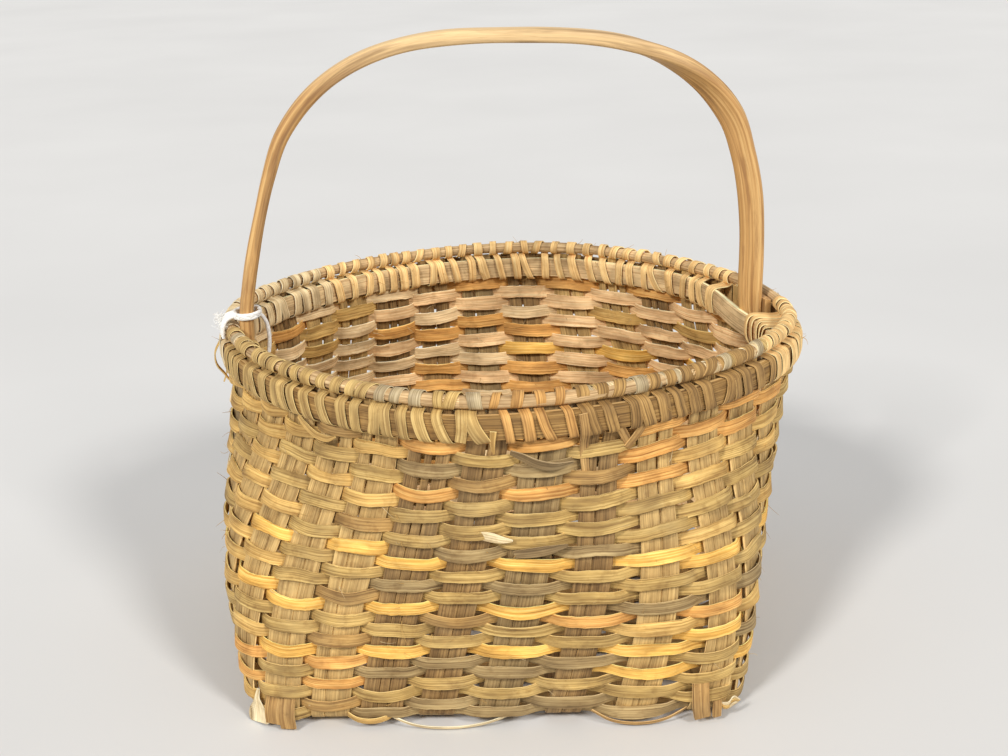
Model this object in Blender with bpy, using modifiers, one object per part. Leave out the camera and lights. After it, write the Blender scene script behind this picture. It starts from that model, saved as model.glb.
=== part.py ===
"""Old splint gathering basket with a fixed bentwood handle.

Every splint is a piece of its own. Flat stakes cross in the base, turn up and
form the ribs of the wall. Closed weaver rows go over one and under one round
them. A flat hoop lies on each side of the stake tops, a round rod lies above
the two, and a strip lashes all three, passing through the wall between stakes. The handle is one bent
bar whose thinned tails stand inside the weave, behind the inner hoop.

Metres, +Z up. The front is -Y. The origin is under the middle of the mouth, on
the surface that the basket stands on. The base sits a little to the left of it,
because the old basket leans.
"""
import math

import bmesh
import bpy
import numpy as np
from mathutils import Vector

# Base and mouth, measured between the middles of the wall
BASE_WIDTH = 0.236
BASE_DEPTH = 0.230
BASE_SQUARENESS = 10.0
MOUTH_WIDTH = 0.283
MOUTH_DEPTH = 0.264
MOUTH_SQUARENESS = 1.75
MOUTH_TURN = math.radians(-8.0)
BASE_SHIFT_X = -0.0095
BASE_SHIFT_Y = -0.0030
SQUARENESS_FADE = 2.1
FLARE_BULGE = 0.45

# Clearances between pieces that touch, and between stakes and weavers, which wind
FIT = 0.0003
WEAVE_FIT = 0.00068

# Stakes, the flat uprights: the outer ones' distances from the sides of the base, and how
# far the middle ones of the front have moved to the left
STAKES_FRONT = 8
STAKES_SIDE = 8
STAKE_WIDTH = 0.0160
STAKE_THICK = 0.0015
STAKE_MARGIN_FRONT = 0.0180
STAKE_MARGIN_SIDE = 0.0185
STAKE_CROWDING = 0.0130
STAKE_BEND = 0.0040
STAKE_TOP_IN_HOOP = 0.0100

# How far the stakes wind round on their way up, and crowd at the mouth, in stake places
MOUTH_WINDING = 1.44
MOUTH_CROWDING = 0.54
CROWDED_STAKE = 4.5

# Straight lengths of a stake up the wall: so many, and one more for each turn of this size
WALL_STEPS = 1
WALL_STEP_TURN = math.radians(9.3)
WALL_SAMPLES = 48
UPRIGHT_BELOW_WEAVE_TOP = 0.0004

# Weavers, the rows that go round
WEAVER_ROWS = 25
WEAVER_WIDTH = 0.0052
WEAVER_THICK = 0.0010
WEAVER_EASE = 0.0008
ROW_GAP = 0.00056

# Rim
HOOP_HEIGHT = 0.0105
OUTER_HOOP_THICK = 0.0045
INNER_HOOP_THICK = 0.0035
ROD_DIAMETER = 0.0064
ROD_LIFT = 0.0027

# Lashing strip, with the shares of its way to the next pass at which it comes up inside
# the hoops, crosses itself under the rod, and comes up beside the rod
LASH_WIDTH = 0.0044
LASH_THICK = 0.0008
LASH_SPARE = 0.0006
LASH_INSIDE = 0.10
LASH_CROSSING = 0.30
LASH_SHOULDER = 0.40
SAME_TURN_STATIONS = 3.0

# Handle: its top leans towards the right foot, and slopes down towards it
HANDLE_TOP = 0.3090
HANDLE_SET_IN = 0.0118
HANDLE_SPRING = 0.0080
HANDLE_LEAN = 0.0077
HANDLE_SLOPE = 0.034
HANDLE_WIDTH = 0.0125
HANDLE_THICK = 0.0070
HANDLE_ROUNDNESS = 2.84
HANDLE_EDGE = 0.0012
HANDLE_EDGE_SHARE = 0.3
HANDLE_STATIONS = 16
TAIL_FIT = 0.0008
TAIL_THICK = 0.0032
TAIL_LENGTH = 0.0400
TAIL_TIP_WIDTH = 0.0070

# Tie of string on the left foot of the handle
STRING_DIAMETER = 0.0015
STRING_SPARE = 0.0009
STRING_TAIL = 0.0250
STRING_LOOP_START = math.radians(-60.0)
STRING_LOOP_STEP = math.radians(45.0)
STRING_LOOP_POINTS = 8

# Levels and offsets that follow from the sizes above
BASE_LEVEL = STAKE_THICK + FIT / 2.0
BASE_WAVE = (STAKE_THICK + FIT) / 2.0
WALL_FOOT = BASE_LEVEL + STAKE_BEND
ROW_PITCH = WEAVER_WIDTH + ROW_GAP
WEAVE_TOP = WALL_FOOT + WEAVER_ROWS * ROW_PITCH
WALL_TOP = WEAVE_TOP - UPRIGHT_BELOW_WEAVE_TOP
LASH_PASS = WEAVE_TOP + 2.0 * FIT + LASH_THICK / 2.0
HOOP_FOOT = LASH_PASS + LASH_THICK / 2.0 + FIT
HOOP_TOP = HOOP_FOOT + HOOP_HEIGHT
STAKE_TOP = HOOP_FOOT + STAKE_TOP_IN_HOOP
ROD_LEVEL = HOOP_TOP + ROD_LIFT + ROD_DIAMETER / 2.0
SPRING_LEVEL = ROD_LEVEL + HANDLE_SPRING
WEAVE_OFFSET = STAKE_THICK / 2.0 + WEAVE_FIT + WEAVER_THICK / 2.0
WEAVE_SKIN = WEAVE_OFFSET + WEAVER_THICK / 2.0
HOOP_FACE = STAKE_THICK / 2.0 + FIT
STAKES = 2 * (STAKES_FRONT + STAKES_SIDE)
CONTOUR_POINTS = 1440
TANGENT_REACH = 0.0015
BASE_CENTRE = Vector((BASE_SHIFT_X, BASE_SHIFT_Y, 0.0))

COLLECTION = bpy.data.collections.new("gathering_basket")


def clear_scene():
    """Start from an empty scene."""
    for item in list(bpy.data.objects):
        bpy.data.objects.remove(item)
    bpy.context.scene.collection.children.link(COLLECTION)


def wood(name, colour, roughness):
    """A plain wood finish."""
    material = bpy.data.materials.new(name)
    material.use_nodes = True
    shader = material.node_tree.nodes["Principled BSDF"]
    shader.inputs["Base Color"].default_value = (*colour, 1.0)
    shader.inputs["Roughness"].default_value = roughness
    shader.inputs["Metallic"].default_value = 0.0
    return material


def rise(z):
    """Share of the way from the foot of the wall to the top of the weave, 0 to 1."""
    return min(max((z - WALL_FOOT) / (WALL_TOP - WALL_FOOT), 0.0), 1.0)


def contour(z):
    """The wall's middle line at height z: points, and their share of the way round.

    The line starts at the middle of the front and runs anticlockwise, seen from above.
    """
    share = rise(z)
    flare = share * (1.0 + FLARE_BULGE * (1.0 - share))
    half_width = (BASE_WIDTH + (MOUTH_WIDTH - BASE_WIDTH) * flare) / 2.0
    half_depth = (BASE_DEPTH + (MOUTH_DEPTH - BASE_DEPTH) * flare) / 2.0
    power = MOUTH_SQUARENESS
    power += (BASE_SQUARENESS - MOUTH_SQUARENESS) * (1.0 - share) ** SQUARENESS_FADE
    angle = np.linspace(-math.pi / 2.0, 1.5 * math.pi, CONTOUR_POINTS + 1)
    along_x = np.abs(np.cos(angle) / half_width) ** power
    along_y = np.abs(np.sin(angle) / half_depth) ** power
    radius = (along_x + along_y) ** (-1.0 / power)
    turned = angle + MOUTH_TURN * share
    points = np.stack([radius * np.cos(turned), radius * np.sin(turned)], axis=1)
    points += np.array([BASE_SHIFT_X, BASE_SHIFT_Y]) * (1.0 - share)
    steps = np.linalg.norm(np.diff(points, axis=0), axis=1)
    travel = np.concatenate([[0.0], np.cumsum(steps)])
    return points, travel / travel[-1]


def contour_frame(z, share):
    """Point on the wall's middle line, with its level tangent."""
    points, travel = contour(z)
    place = [np.interp((share + away) % 1.0, travel, points[:, axis])
             for away in (-TANGENT_REACH, 0.0, TANGENT_REACH) for axis in (0, 1)]
    tangent = Vector((place[4] - place[0], place[5] - place[1], 0.0)).normalized()
    return Vector((place[2], place[3], z)), tangent


def base_share(x, y):
    """Share of the way round at the foot of the wall, towards x, y from its middle."""
    points, travel = contour(WALL_FOOT)
    angles = np.unwrap(np.arctan2(points[:, 1] - BASE_SHIFT_Y, points[:, 0] - BASE_SHIFT_X))
    wanted = math.atan2(y, x)
    while wanted < angles[0]:
        wanted += 2.0 * math.pi
    return float(np.interp(wanted, angles, travel))


def spread(count, length, crowding=0.0):
    """Places about zero, the first and last a length apart, the middle ones moved back."""
    shares = [i / (count - 1) for i in range(count)]
    return [(share - 0.5) * length - crowding * math.sin(math.pi * share) for share in shares]


FRONT_PLACES = spread(STAKES_FRONT, BASE_WIDTH - 2.0 * STAKE_MARGIN_FRONT, STAKE_CROWDING)
SIDE_PLACES = spread(STAKES_SIDE, BASE_DEPTH - 2.0 * STAKE_MARGIN_SIDE)


def stake_feet():
    """Where each stake leaves the base, anticlockwise from the middle of the front."""
    half_width = BASE_WIDTH / 2.0
    half_depth = BASE_DEPTH / 2.0
    bow = BASE_SQUARENESS
    feet = []
    for x in FRONT_PLACES:
        depth = half_depth * (1.0 - abs(x / half_width) ** bow) ** (1.0 / bow)
        feet.append((x, -depth))
    for y in SIDE_PLACES:
        width = half_width * (1.0 - abs(y / half_depth) ** bow) ** (1.0 / bow)
        feet.append((width, y))
    feet += [(x, -y) for x, y in feet[STAKES_FRONT - 1::-1]]
    feet += [(-x, y) for x, y in feet[STAKES_FRONT + STAKES_SIDE - 1:STAKES_FRONT - 1:-1]]
    return feet


def foot_share(number):
    """Share of the way round of a stake's foot, below zero left of the front's middle."""
    share = base_share(*FEET[number])
    return share - 1.0 if number < STAKES_FRONT and share > 0.5 else share


def mouth_share(number):
    """Share of the way round of a stake's top."""
    swing = math.cos(2.0 * math.pi * (number - CROWDED_STAKE) / STAKES)
    place = number - (STAKES_FRONT - 1) / 2.0 + MOUTH_WINDING - MOUTH_CROWDING * swing
    return place / STAKES


FEET = stake_feet()
FOOT_SHARES = [foot_share(number) for number in range(STAKES)]


def share_at(number, z):
    """Share of the way round of a stake at height z."""
    foot = FOOT_SHARES[number]
    return foot + (mouth_share(number) - foot) * rise(z)


def wall_frames(number):
    """Levels of a stake's bends up the wall, and its middle point and tangent at each.

    The bends stand closer where the stake turns more on its way up.
    """
    grid = np.linspace(WALL_FOOT, WALL_TOP, WALL_SAMPLES + 1)
    tangents = [contour_frame(z, share_at(number, z))[1] for z in grid]
    turns = [before.angle(after) for before, after in zip(tangents, tangents[1:])]
    travel = np.cumsum([0.0] + [turn / WALL_STEP_TURN + WALL_STEPS / WALL_SAMPLES for turn in turns])
    wanted = np.linspace(0.0, travel[-1], math.ceil(travel[-1]) + 1)
    levels = [float(z) for z in np.interp(wanted, travel, grid)]
    return [(z, *contour_frame(z, share_at(number, z))) for z in levels]


WALL_FRAMES = [wall_frames(number) for number in range(STAKES)]


def stake_frame(number, z):
    """Middle point, level tangent, upward direction and outward normal of a stake."""
    frames = WALL_FRAMES[number]
    if z >= WALL_TOP:
        _, point, tangent = frames[-1]
        up = Vector((0.0, 0.0, 1.0))
        return Vector((point.x, point.y, z)), tangent, up, tangent.cross(up)
    high = next(i for i, frame in enumerate(frames) if i and z <= frame[0])
    (low_z, low_point, low_tangent), (high_z, high_point, high_tangent) = frames[high - 1:high + 1]
    part = max(z - low_z, 0.0) / (high_z - low_z)
    middle = low_point.lerp(high_point, part)
    tangent = low_tangent.lerp(high_tangent, part).normalized()
    rising = (high_point - low_point).normalized()
    up = (rising - tangent * rising.dot(tangent)).normalized()
    return middle, tangent, up, tangent.cross(up)


def add_object(name, mesh, material):
    """Put a mesh in the basket's collection as a named piece."""
    item = bpy.data.objects.new(name, mesh)
    COLLECTION.objects.link(item)
    mesh.materials.append(material)
    return item


def splint(name, edges, thickness, material, closed=False):
    """A flat strip: an open surface between pairs of edge points, made solid."""
    mesh = bpy.data.meshes.new(name)
    form = bmesh.new()
    rows = [[form.verts.new(point) for point in pair] for pair in edges]
    count = len(rows)
    for i in range(count if closed else count - 1):
        left, right = rows[i], rows[(i + 1) % count]
        form.faces.new((left[0], left[1], right[1], right[0]))
    form.to_mesh(mesh)
    form.free()
    item = add_object(name, mesh, material)
    solid = item.modifiers.new("thickness", "SOLIDIFY")
    solid.thickness = thickness
    solid.offset = 0.0
    solid.use_even_offset = True
    return item


def pair_at(middle, across, half):
    """The two edge points of a strip at one station."""
    return middle - across * half, middle + across * half


def wall_stations(number):
    """Edge pairs of a stake up the wall, from its foot to its top."""
    heights = [frame[0] for frame in WALL_FRAMES[number]] + [STAKE_TOP]
    pairs = []
    for z in heights:
        middle, tangent, _, _ = stake_frame(number, z)
        pairs.append(pair_at(middle, tangent, STAKE_WIDTH / 2.0))
    return pairs


def base_stations(place, along_y, crossings, parity):
    """Edge pairs of a stake across the base, over and under the others."""
    across = Vector((1.0, 0.0, 0.0)) if along_y else Vector((0.0, 1.0, 0.0))
    pairs = []
    half_flat = STAKE_WIDTH / 2.0 + WEAVER_EASE
    for i, crossing in enumerate(crossings):
        sign = 1.0 if (i + parity) % 2 == 0 else -1.0
        for side in (-half_flat, half_flat):
            run = crossing + side
            level = BASE_LEVEL + sign * BASE_WAVE
            middle = Vector((place, run, level)) if along_y else Vector((run, place, level))
            pairs.append(pair_at(BASE_CENTRE + middle, across, STAKE_WIDTH / 2.0))
    return pairs


def bend_station(foot_number, along_y):
    """Edge pair where the base of a stake starts to bend up into the wall."""
    middle, _, _, _ = stake_frame(foot_number, WALL_FOOT)
    if along_y:
        reach = Vector((0.0, math.copysign(STAKE_BEND, middle.y - BASE_CENTRE.y), 0.0))
        across = Vector((1.0, 0.0, 0.0))
    else:
        reach = Vector((math.copysign(STAKE_BEND, middle.x - BASE_CENTRE.x), 0.0, 0.0))
        across = Vector((0.0, 1.0, 0.0))
    point = Vector((middle.x, middle.y, BASE_LEVEL)) - reach
    return pair_at(point, across, STAKE_WIDTH / 2.0)


def stakes():
    """The stakes, each one splint from rim to rim under the basket."""
    front_wood = wood("stake_front", (0.33, 0.24, 0.13), 0.8)
    side_wood = wood("stake_side", (0.30, 0.21, 0.11), 0.8)
    for i, x in enumerate(FRONT_PLACES):
        front = i
        back = STAKES_FRONT + STAKES_SIDE + (STAKES_FRONT - 1 - i)
        make_stake(f"stake_front_back_{i + 1}", x, True, front, back, SIDE_PLACES, i, front_wood)
    for i, y in enumerate(SIDE_PLACES):
        right = STAKES_FRONT + i
        left = 2 * STAKES_FRONT + STAKES_SIDE + (STAKES_SIDE - 1 - i)
        make_stake(f"stake_left_right_{i + 1}", y, False, left, right, FRONT_PLACES, i + 1,
                   side_wood)


def make_stake(name, place, along_y, low_end, high_end, crossings, parity, material):
    """One stake: up one wall, across the base and up the other wall."""
    first = wall_stations(low_end)[::-1] + [bend_station(low_end, along_y)]
    last = [bend_station(high_end, along_y)] + wall_stations(high_end)
    middle = base_stations(place, along_y, crossings, parity)
    first = [aligned(pair, middle[0]) for pair in first]
    last = [aligned(pair, middle[-1]) for pair in last]
    splint(name, first + middle + last, STAKE_THICK, material)


def aligned(pair, reference):
    """The pair in the order that keeps a strip from crossing itself."""
    line = reference[1] - reference[0]
    return pair if (pair[1] - pair[0]).dot(line) >= 0.0 else (pair[1], pair[0])


def weaver(row, material):
    """One closed row that goes over one stake and under the next."""
    level = WALL_FOOT + (row + 0.5) * ROW_PITCH
    edges = []
    for number in range(STAKES):
        middle, tangent, up, normal = stake_frame(number, level)
        outside = 1.0 if (number + row) % 2 == 0 else -1.0
        centre = middle + normal * (outside * WEAVE_OFFSET)
        reach = STAKE_WIDTH / 2.0 + WEAVER_EASE
        for side in (-reach, reach):
            edges.append(pair_at(centre + tangent * side, up, WEAVER_WIDTH / 2.0))
    splint(f"weaver_row_{row + 1:02d}", edges, WEAVER_THICK, material, closed=True)


def weavers():
    """All the rows, each in its own shade."""
    shades = ((0.36, 0.27, 0.14), (0.31, 0.24, 0.13), (0.50, 0.34, 0.13), (0.28, 0.22, 0.13))
    for row in range(WEAVER_ROWS):
        weaver(row, wood(f"weaver_{row + 1:02d}", shades[row % len(shades)], 0.75))


def crossing_of(first, second):
    """Where two level lines meet, each given by a point and a direction."""
    point, line = first
    other, other_line = second
    turn = line.x * other_line.y - line.y * other_line.x
    gap = other - point
    reach = (gap.x * other_line.y - gap.y * other_line.x) / turn
    return point + line * reach


def corner_frame(number, z, offset=0.0, next_offset=None):
    """Where the flats of a stake and of the next one meet, with tangent and normal.

    The flats lie at offset and next_offset outside the stakes' middles.
    """
    after = (number + 1) % STAKES
    next_offset = offset if next_offset is None else next_offset
    middle, tangent, _, normal = stake_frame(number, z)
    next_middle, next_tangent, _, next_normal = stake_frame(after, z)
    level = Vector((normal.x, normal.y, 0.0)).normalized()
    next_level = Vector((next_normal.x, next_normal.y, 0.0)).normalized()
    corner = crossing_of((middle + level * offset, tangent),
                         (next_middle + next_level * next_offset, next_tangent))
    corner.z = z
    return corner, (tangent + next_tangent).normalized(), (level + next_level).normalized()


def half_turn(foot):
    """Half of the angle between the flats on the two sides of a foot of the handle."""
    _, tangent, _, _ = stake_frame(foot, WALL_TOP)
    _, next_tangent, _, _ = stake_frame(foot + 1, WALL_TOP)
    return tangent.angle(next_tangent) / 2.0


def flat_length(number):
    """Length of the rim's flat that lies on a stake."""
    start, end = corner_frame(number - 1, HOOP_FOOT)[0], corner_frame(number, HOOP_FOOT)[0]
    return (end - start).length


RIGHT_FOOT = STAKES_FRONT + STAKES_SIDE // 2 - 1
LEFT_FOOT = RIGHT_FOOT + STAKES // 2
HALF_TURN = max(half_turn(RIGHT_FOOT), half_turn(LEFT_FOOT))
FLAT_LENGTH = min(flat_length(foot + side) for foot in (RIGHT_FOOT, LEFT_FOOT) for side in (0, 1))
TAIL_FACE = (WEAVE_SKIN / math.cos(HALF_TURN) + TAIL_FIT
             + HANDLE_WIDTH / 2.0 * math.tan(HALF_TURN))
TAIL_OFFSET = TAIL_FACE + TAIL_THICK / 2.0
STAND_OFF = ((TAIL_FACE + TAIL_THICK + FIT - HOOP_FACE)
             / (1.0 - HANDLE_WIDTH / 2.0 / FLAT_LENGTH))


def stand_off_at(gap):
    """How far the inner hoop leaves the stakes at a gap, counted from the first stake."""
    away = abs((gap - RIGHT_FOOT + STAKES / 4.0) % (STAKES / 2.0) - STAKES / 4.0)
    return STAND_OFF * max(0.0, 1.0 - away)


def hoop(name, face, thickness, material, stands_off=False):
    """A flat hoop on one side of the stake tops."""
    offset = face + math.copysign(thickness / 2.0, face)
    edges = []
    for number in range(STAKES):
        corner, _, normal = corner_frame(number, (HOOP_FOOT + HOOP_TOP) / 2.0, offset)
        if stands_off:
            corner -= normal * stand_off_at(number)
        edges.append(pair_at(corner, Vector((0.0, 0.0, 1.0)), HOOP_HEIGHT / 2.0))
    splint(name, edges, thickness, material, closed=True)


def tube(name, points, diameter, resolution, material, closed=False):
    """A round rod or cord through the points."""
    curve = bpy.data.curves.new(name, "CURVE")
    curve.dimensions = "3D"
    line = curve.splines.new("POLY")
    line.points.add(len(points) - 1)
    for control, point in zip(line.points, points):
        control.co = (*point, 1.0)
    line.use_cyclic_u = closed
    curve.bevel_depth = diameter / 2.0
    curve.bevel_resolution = resolution
    curve.use_fill_caps = not closed
    curve.materials.append(material)
    COLLECTION.objects.link(bpy.data.objects.new(name, curve))


def rim():
    """Two hoops that clamp the stake tops, and the rod above them."""
    hoop("outer_hoop", HOOP_FACE, OUTER_HOOP_THICK, wood("outer_hoop", (0.30, 0.20, 0.10), 0.7))
    hoop("inner_hoop", -HOOP_FACE, INNER_HOOP_THICK, wood("inner_hoop", (0.36, 0.22, 0.11), 0.7),
         stands_off=True)
    ring = [corner_frame(number, ROD_LEVEL)[0] for number in range(STAKES)]
    tube("rim_rod", ring, ROD_DIAMETER, 1, wood("rim_rod", (0.34, 0.25, 0.15), 0.6), closed=True)


def lash_loop():
    """One loop as offset outwards, height and share of the way to the next pass.

    The strip goes up inside the hoops, out under the rod, over it, back under it,
    and down outside the hoops, so that it crosses itself between rod and hoops.
    """
    half = LASH_THICK / 2.0
    inside = -(HOOP_FACE + INNER_HOOP_THICK + FIT + half + LASH_SPARE)
    outside = HOOP_FACE + OUTER_HOOP_THICK + FIT + half + LASH_SPARE
    above_hoops = HOOP_TOP + FIT + half + LASH_SPARE / 2.0
    corner = (ROD_DIAMETER / 2.0 + FIT + half) / math.cos(math.pi / 5.0)
    fifth = 2.0 * math.pi / 5.0
    side, low_side = corner * math.cos(fifth / 4.0), corner * math.sin(fifth / 2.0)
    shoulder = ROD_LEVEL + corner * math.sin(fifth / 4.0)
    under = ROD_LEVEL - corner * math.cos(fifth / 2.0)
    return [(inside, LASH_PASS, 0.0),
            (inside, above_hoops, LASH_INSIDE),
            (low_side, under, LASH_CROSSING),
            (side, shoulder, LASH_SHOULDER),
            (0.0, ROD_LEVEL + corner, 0.5),
            (-side, shoulder, 1.0 - LASH_SHOULDER),
            (-low_side, under, 1.0 - LASH_CROSSING),
            (outside, above_hoops, 1.0 - LASH_INSIDE),
            (outside, LASH_PASS, 1.0)]


def lashing(name, first_gap, last_gap, material):
    """One length of strip that winds round the rim and passes between the stakes."""
    edges = []
    half_strip = LASH_WIDTH / FLAT_LENGTH / 2.0
    for gap in range(first_gap, last_gap):
        here, along, out = corner_frame(gap % STAKES, HOOP_TOP)
        after, along_after, out_after = corner_frame((gap + 1) % STAKES, HOOP_TOP)
        for offset, height, share in lash_loop():
            if share <= LASH_INSIDE:
                place = gap + share
                offset -= max(stand_off_at(place - half_strip), stand_off_at(place + half_strip))
            middle = here.lerp(after, share)
            tangent = along.lerp(along_after, share).normalized()
            normal = out.lerp(out_after, share).normalized()
            point = middle + normal * offset
            point.z = height
            edges.append(pair_at(point, tangent, LASH_WIDTH / 2.0))
    splint(name, edges, LASH_THICK, material)
    return least_gap(edges)


def least_gap(edges):
    """Least clear distance between turns of a strip, measured on points."""
    samples, stations = [], []
    for i, (pair, after) in enumerate(zip(edges, edges[1:])):
        for part in (0.0, 0.25, 0.5, 0.75):
            left, right = pair[0].lerp(after[0], part), pair[1].lerp(after[1], part)
            samples += [left.lerp(right, share) for share in (0.0, 0.5, 1.0)]
            stations += [i + part] * 3
    points, stations = np.array(samples), np.array(stations)
    apart = np.linalg.norm(points[:, None] - points[None], axis=2)
    apart[np.abs(stations[:, None] - stations[None]) < SAME_TURN_STATIONS] = np.inf
    return float(apart.min()) - LASH_THICK


def lashings():
    """Four lengths of strip, two from foot to foot of the handle on each side."""
    shades = {"lashing_back_right": (0.55, 0.33, 0.14), "lashing_back_left": (0.50, 0.33, 0.16),
              "lashing_front_left": (0.30, 0.24, 0.16), "lashing_front_right": (0.27, 0.21, 0.14)}
    back = RIGHT_FOOT + 1
    front = LEFT_FOOT + 1
    reach = STAKES // 2 - 2
    spans = [(back, back + reach // 2), (back + reach // 2 + 1, back + reach),
             (front, front + reach // 2), (front + reach // 2 + 1, front + reach)]
    for (name, colour), (first, last) in zip(shades.items(), spans):
        gap = lashing(name, first, last, wood(name, colour, 0.7))
        print(f"{name}: {last - first} loops, least gap between turns {gap * 1000.0:.2f} mm")


def handle_tail(foot):
    """Stations of one tail, tip first: point, thickness and width."""
    tip = HOOP_TOP - TAIL_LENGTH
    stations = []
    for z in (tip, (tip + HOOP_FOOT) / 2.0, HOOP_FOOT, HOOP_TOP):
        corner, _, normal = corner_frame(foot, z)
        width = TAIL_TIP_WIDTH if z == tip else HANDLE_WIDTH
        stations.append((corner - normal * TAIL_OFFSET, TAIL_THICK, width))
    return stations


def handle_arch():
    """Stations of the thick part of the handle, from its right foot to its left."""
    right, _, _ = corner_frame(RIGHT_FOOT, HOOP_TOP)
    left, _, _ = corner_frame(LEFT_FOOT, HOOP_TOP)
    out = (right - left).normalized()
    centre = (right + left) / 2.0
    half_span = (right - left).length / 2.0 - HANDLE_SET_IN
    crown = HANDLE_TOP - HANDLE_THICK / 2.0 - SPRING_LEVEL
    power = 2.0 / HANDLE_ROUNDNESS
    stations = []
    for i in range(HANDLE_STATIONS + 1):
        angle = math.pi * i / HANDLE_STATIONS
        aside = half_span * math.copysign(abs(math.cos(angle)) ** power, math.cos(angle))
        risen = max(math.sin(angle), 0.0) ** power
        point = centre + out * (aside + HANDLE_LEAN * risen)
        point.z = SPRING_LEVEL + (crown - HANDLE_SLOPE * aside) * risen
        stations.append((point, HANDLE_THICK, HANDLE_WIDTH))
    return stations, out


def bar_ring(point, along, across, thickness, width):
    """Section of the handle: a flat bar with its edges taken off."""
    out = along.cross(across).normalized()
    edge = min(HANDLE_EDGE, thickness * HANDLE_EDGE_SHARE)
    half_t, half_w = thickness / 2.0, width / 2.0
    shape = [(half_t, half_w - edge), (half_t - edge, half_w), (edge - half_t, half_w),
             (-half_t, half_w - edge), (-half_t, edge - half_w), (edge - half_t, -half_w),
             (half_t - edge, -half_w), (half_t, edge - half_w)]
    return [point + out * a + across * b for a, b in shape]


def loft(name, rings, material):
    """A closed bar through sections that differ in size."""
    mesh = bpy.data.meshes.new(name)
    form = bmesh.new()
    made = [[form.verts.new(point) for point in ring] for ring in rings]
    for ring, after in zip(made, made[1:]):
        for i, corner in enumerate(ring):
            j = (i + 1) % len(ring)
            form.faces.new((corner, ring[j], after[j], after[i]))
    form.faces.new(made[0][::-1])
    form.faces.new(made[-1])
    bmesh.ops.recalc_face_normals(form, faces=form.faces)
    form.to_mesh(mesh)
    form.free()
    add_object(name, mesh, material)


def handle():
    """One bent bar, thick over the top and thinned to flat tails inside the rim."""
    arch, out = handle_arch()
    across = Vector((0.0, 0.0, 1.0)).cross(out)
    line = handle_tail(RIGHT_FOOT) + arch + handle_tail(LEFT_FOOT)[::-1]
    rings = []
    for i, (point, thickness, width) in enumerate(line):
        before = line[max(i - 1, 0)][0]
        after = line[min(i + 1, len(line) - 1)][0]
        along = (after - before).normalized()
        rings.append(bar_ring(point, along, across, thickness, width))
    loft("handle", rings, wood("handle", (0.42, 0.24, 0.09), 0.5))


def leg_at(z):
    """How far inside the rod's middle a leg stands above the hoops, and its thickness."""
    share = (z - HOOP_TOP) / (SPRING_LEVEL - HOOP_TOP)
    inwards = TAIL_OFFSET + (HANDLE_SET_IN - TAIL_OFFSET) * share
    return inwards, TAIL_THICK + (HANDLE_THICK - TAIL_THICK) * share


def tie_route():
    """The string's way, as offset inwards, place along the rim and height.

    Its tail hangs inside the hoop. It comes up, passes round the leg, and goes round the rod.
    """
    clear = STRING_DIAMETER / 2.0 + STRING_SPARE
    half_leg = HANDLE_WIDTH / 2.0
    inwards, thickness = leg_at(ROD_LEVEL)
    leg_face = inwards + thickness / 2.0
    hang = HOOP_FACE + STAND_OFF + INNER_HOOP_THICK + clear
    route = [(hang, -half_leg * (1.0 - share / 2.0), HOOP_TOP - STRING_TAIL * share)
             for share in (1.0, 0.5, 0.0)]
    route += [(leg_face + clear, -half_leg / 2.0, ROD_LEVEL),
              (leg_face + clear, half_leg, ROD_LEVEL),
              (leg_face - HANDLE_EDGE, half_leg + clear, ROD_LEVEL)]
    radius = (ROD_DIAMETER / 2.0 + clear) / math.cos(STRING_LOOP_STEP / 2.0)
    beside = half_leg + clear + STRING_DIAMETER
    for i in range(STRING_LOOP_POINTS):
        angle = STRING_LOOP_START + i * STRING_LOOP_STEP
        route.append((-radius * math.sin(angle), beside, ROD_LEVEL - radius * math.cos(angle)))
    return route


def tie_string():
    """A string hitched round the left foot of the handle and the rod beside it."""
    corner, tangent, normal = corner_frame(LEFT_FOOT, ROD_LEVEL)
    points = []
    for inwards, beside, level in tie_route():
        point = corner - normal * inwards + tangent * beside
        point.z = level
        points.append(point)
    tube("tie_string", points, STRING_DIAMETER, 1, wood("tie_string", (0.85, 0.85, 0.82), 0.9))


def main():
    clear_scene()
    stakes()
    weavers()
    rim()
    lashings()
    handle()
    tie_string()


main()
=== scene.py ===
"""The looks of an old splint gathering basket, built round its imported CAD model.

Metres, +Z up, the front at -Y, in the frame of the CAD. The pieces come in the order
in which such a basket is made: stakes, weavers, hoops and rod, lashing, handle, string.
"""
import math

import bpy
import numpy as np
from mathutils import Matrix, Vector


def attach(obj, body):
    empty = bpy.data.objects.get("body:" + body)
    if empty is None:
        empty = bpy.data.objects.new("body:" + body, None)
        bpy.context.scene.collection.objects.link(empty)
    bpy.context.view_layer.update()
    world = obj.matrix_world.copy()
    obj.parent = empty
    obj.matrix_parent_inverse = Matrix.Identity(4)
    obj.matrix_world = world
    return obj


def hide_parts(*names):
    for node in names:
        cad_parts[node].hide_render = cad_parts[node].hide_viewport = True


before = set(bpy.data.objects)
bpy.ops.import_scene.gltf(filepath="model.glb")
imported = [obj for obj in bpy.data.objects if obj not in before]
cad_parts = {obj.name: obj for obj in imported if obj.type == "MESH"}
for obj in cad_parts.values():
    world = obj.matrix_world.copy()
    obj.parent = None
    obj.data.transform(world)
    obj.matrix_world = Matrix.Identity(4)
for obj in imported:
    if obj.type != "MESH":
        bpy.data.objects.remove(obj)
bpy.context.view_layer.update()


# The table and the light.
# A plain pale table top runs far back under the basket. Two soft lamps hang high at the
# left and the right of the front, and an even pale room fills the shade.
CAMERA_PLACE = (0.01236, -0.73128, 0.387)
CAMERA_HEADING = math.radians(1.133)
CAMERA_DOWN = math.radians(19.24)
CAMERA_ROLL = math.radians(-1.722)
CAMERA_LENS = 53.571

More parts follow.
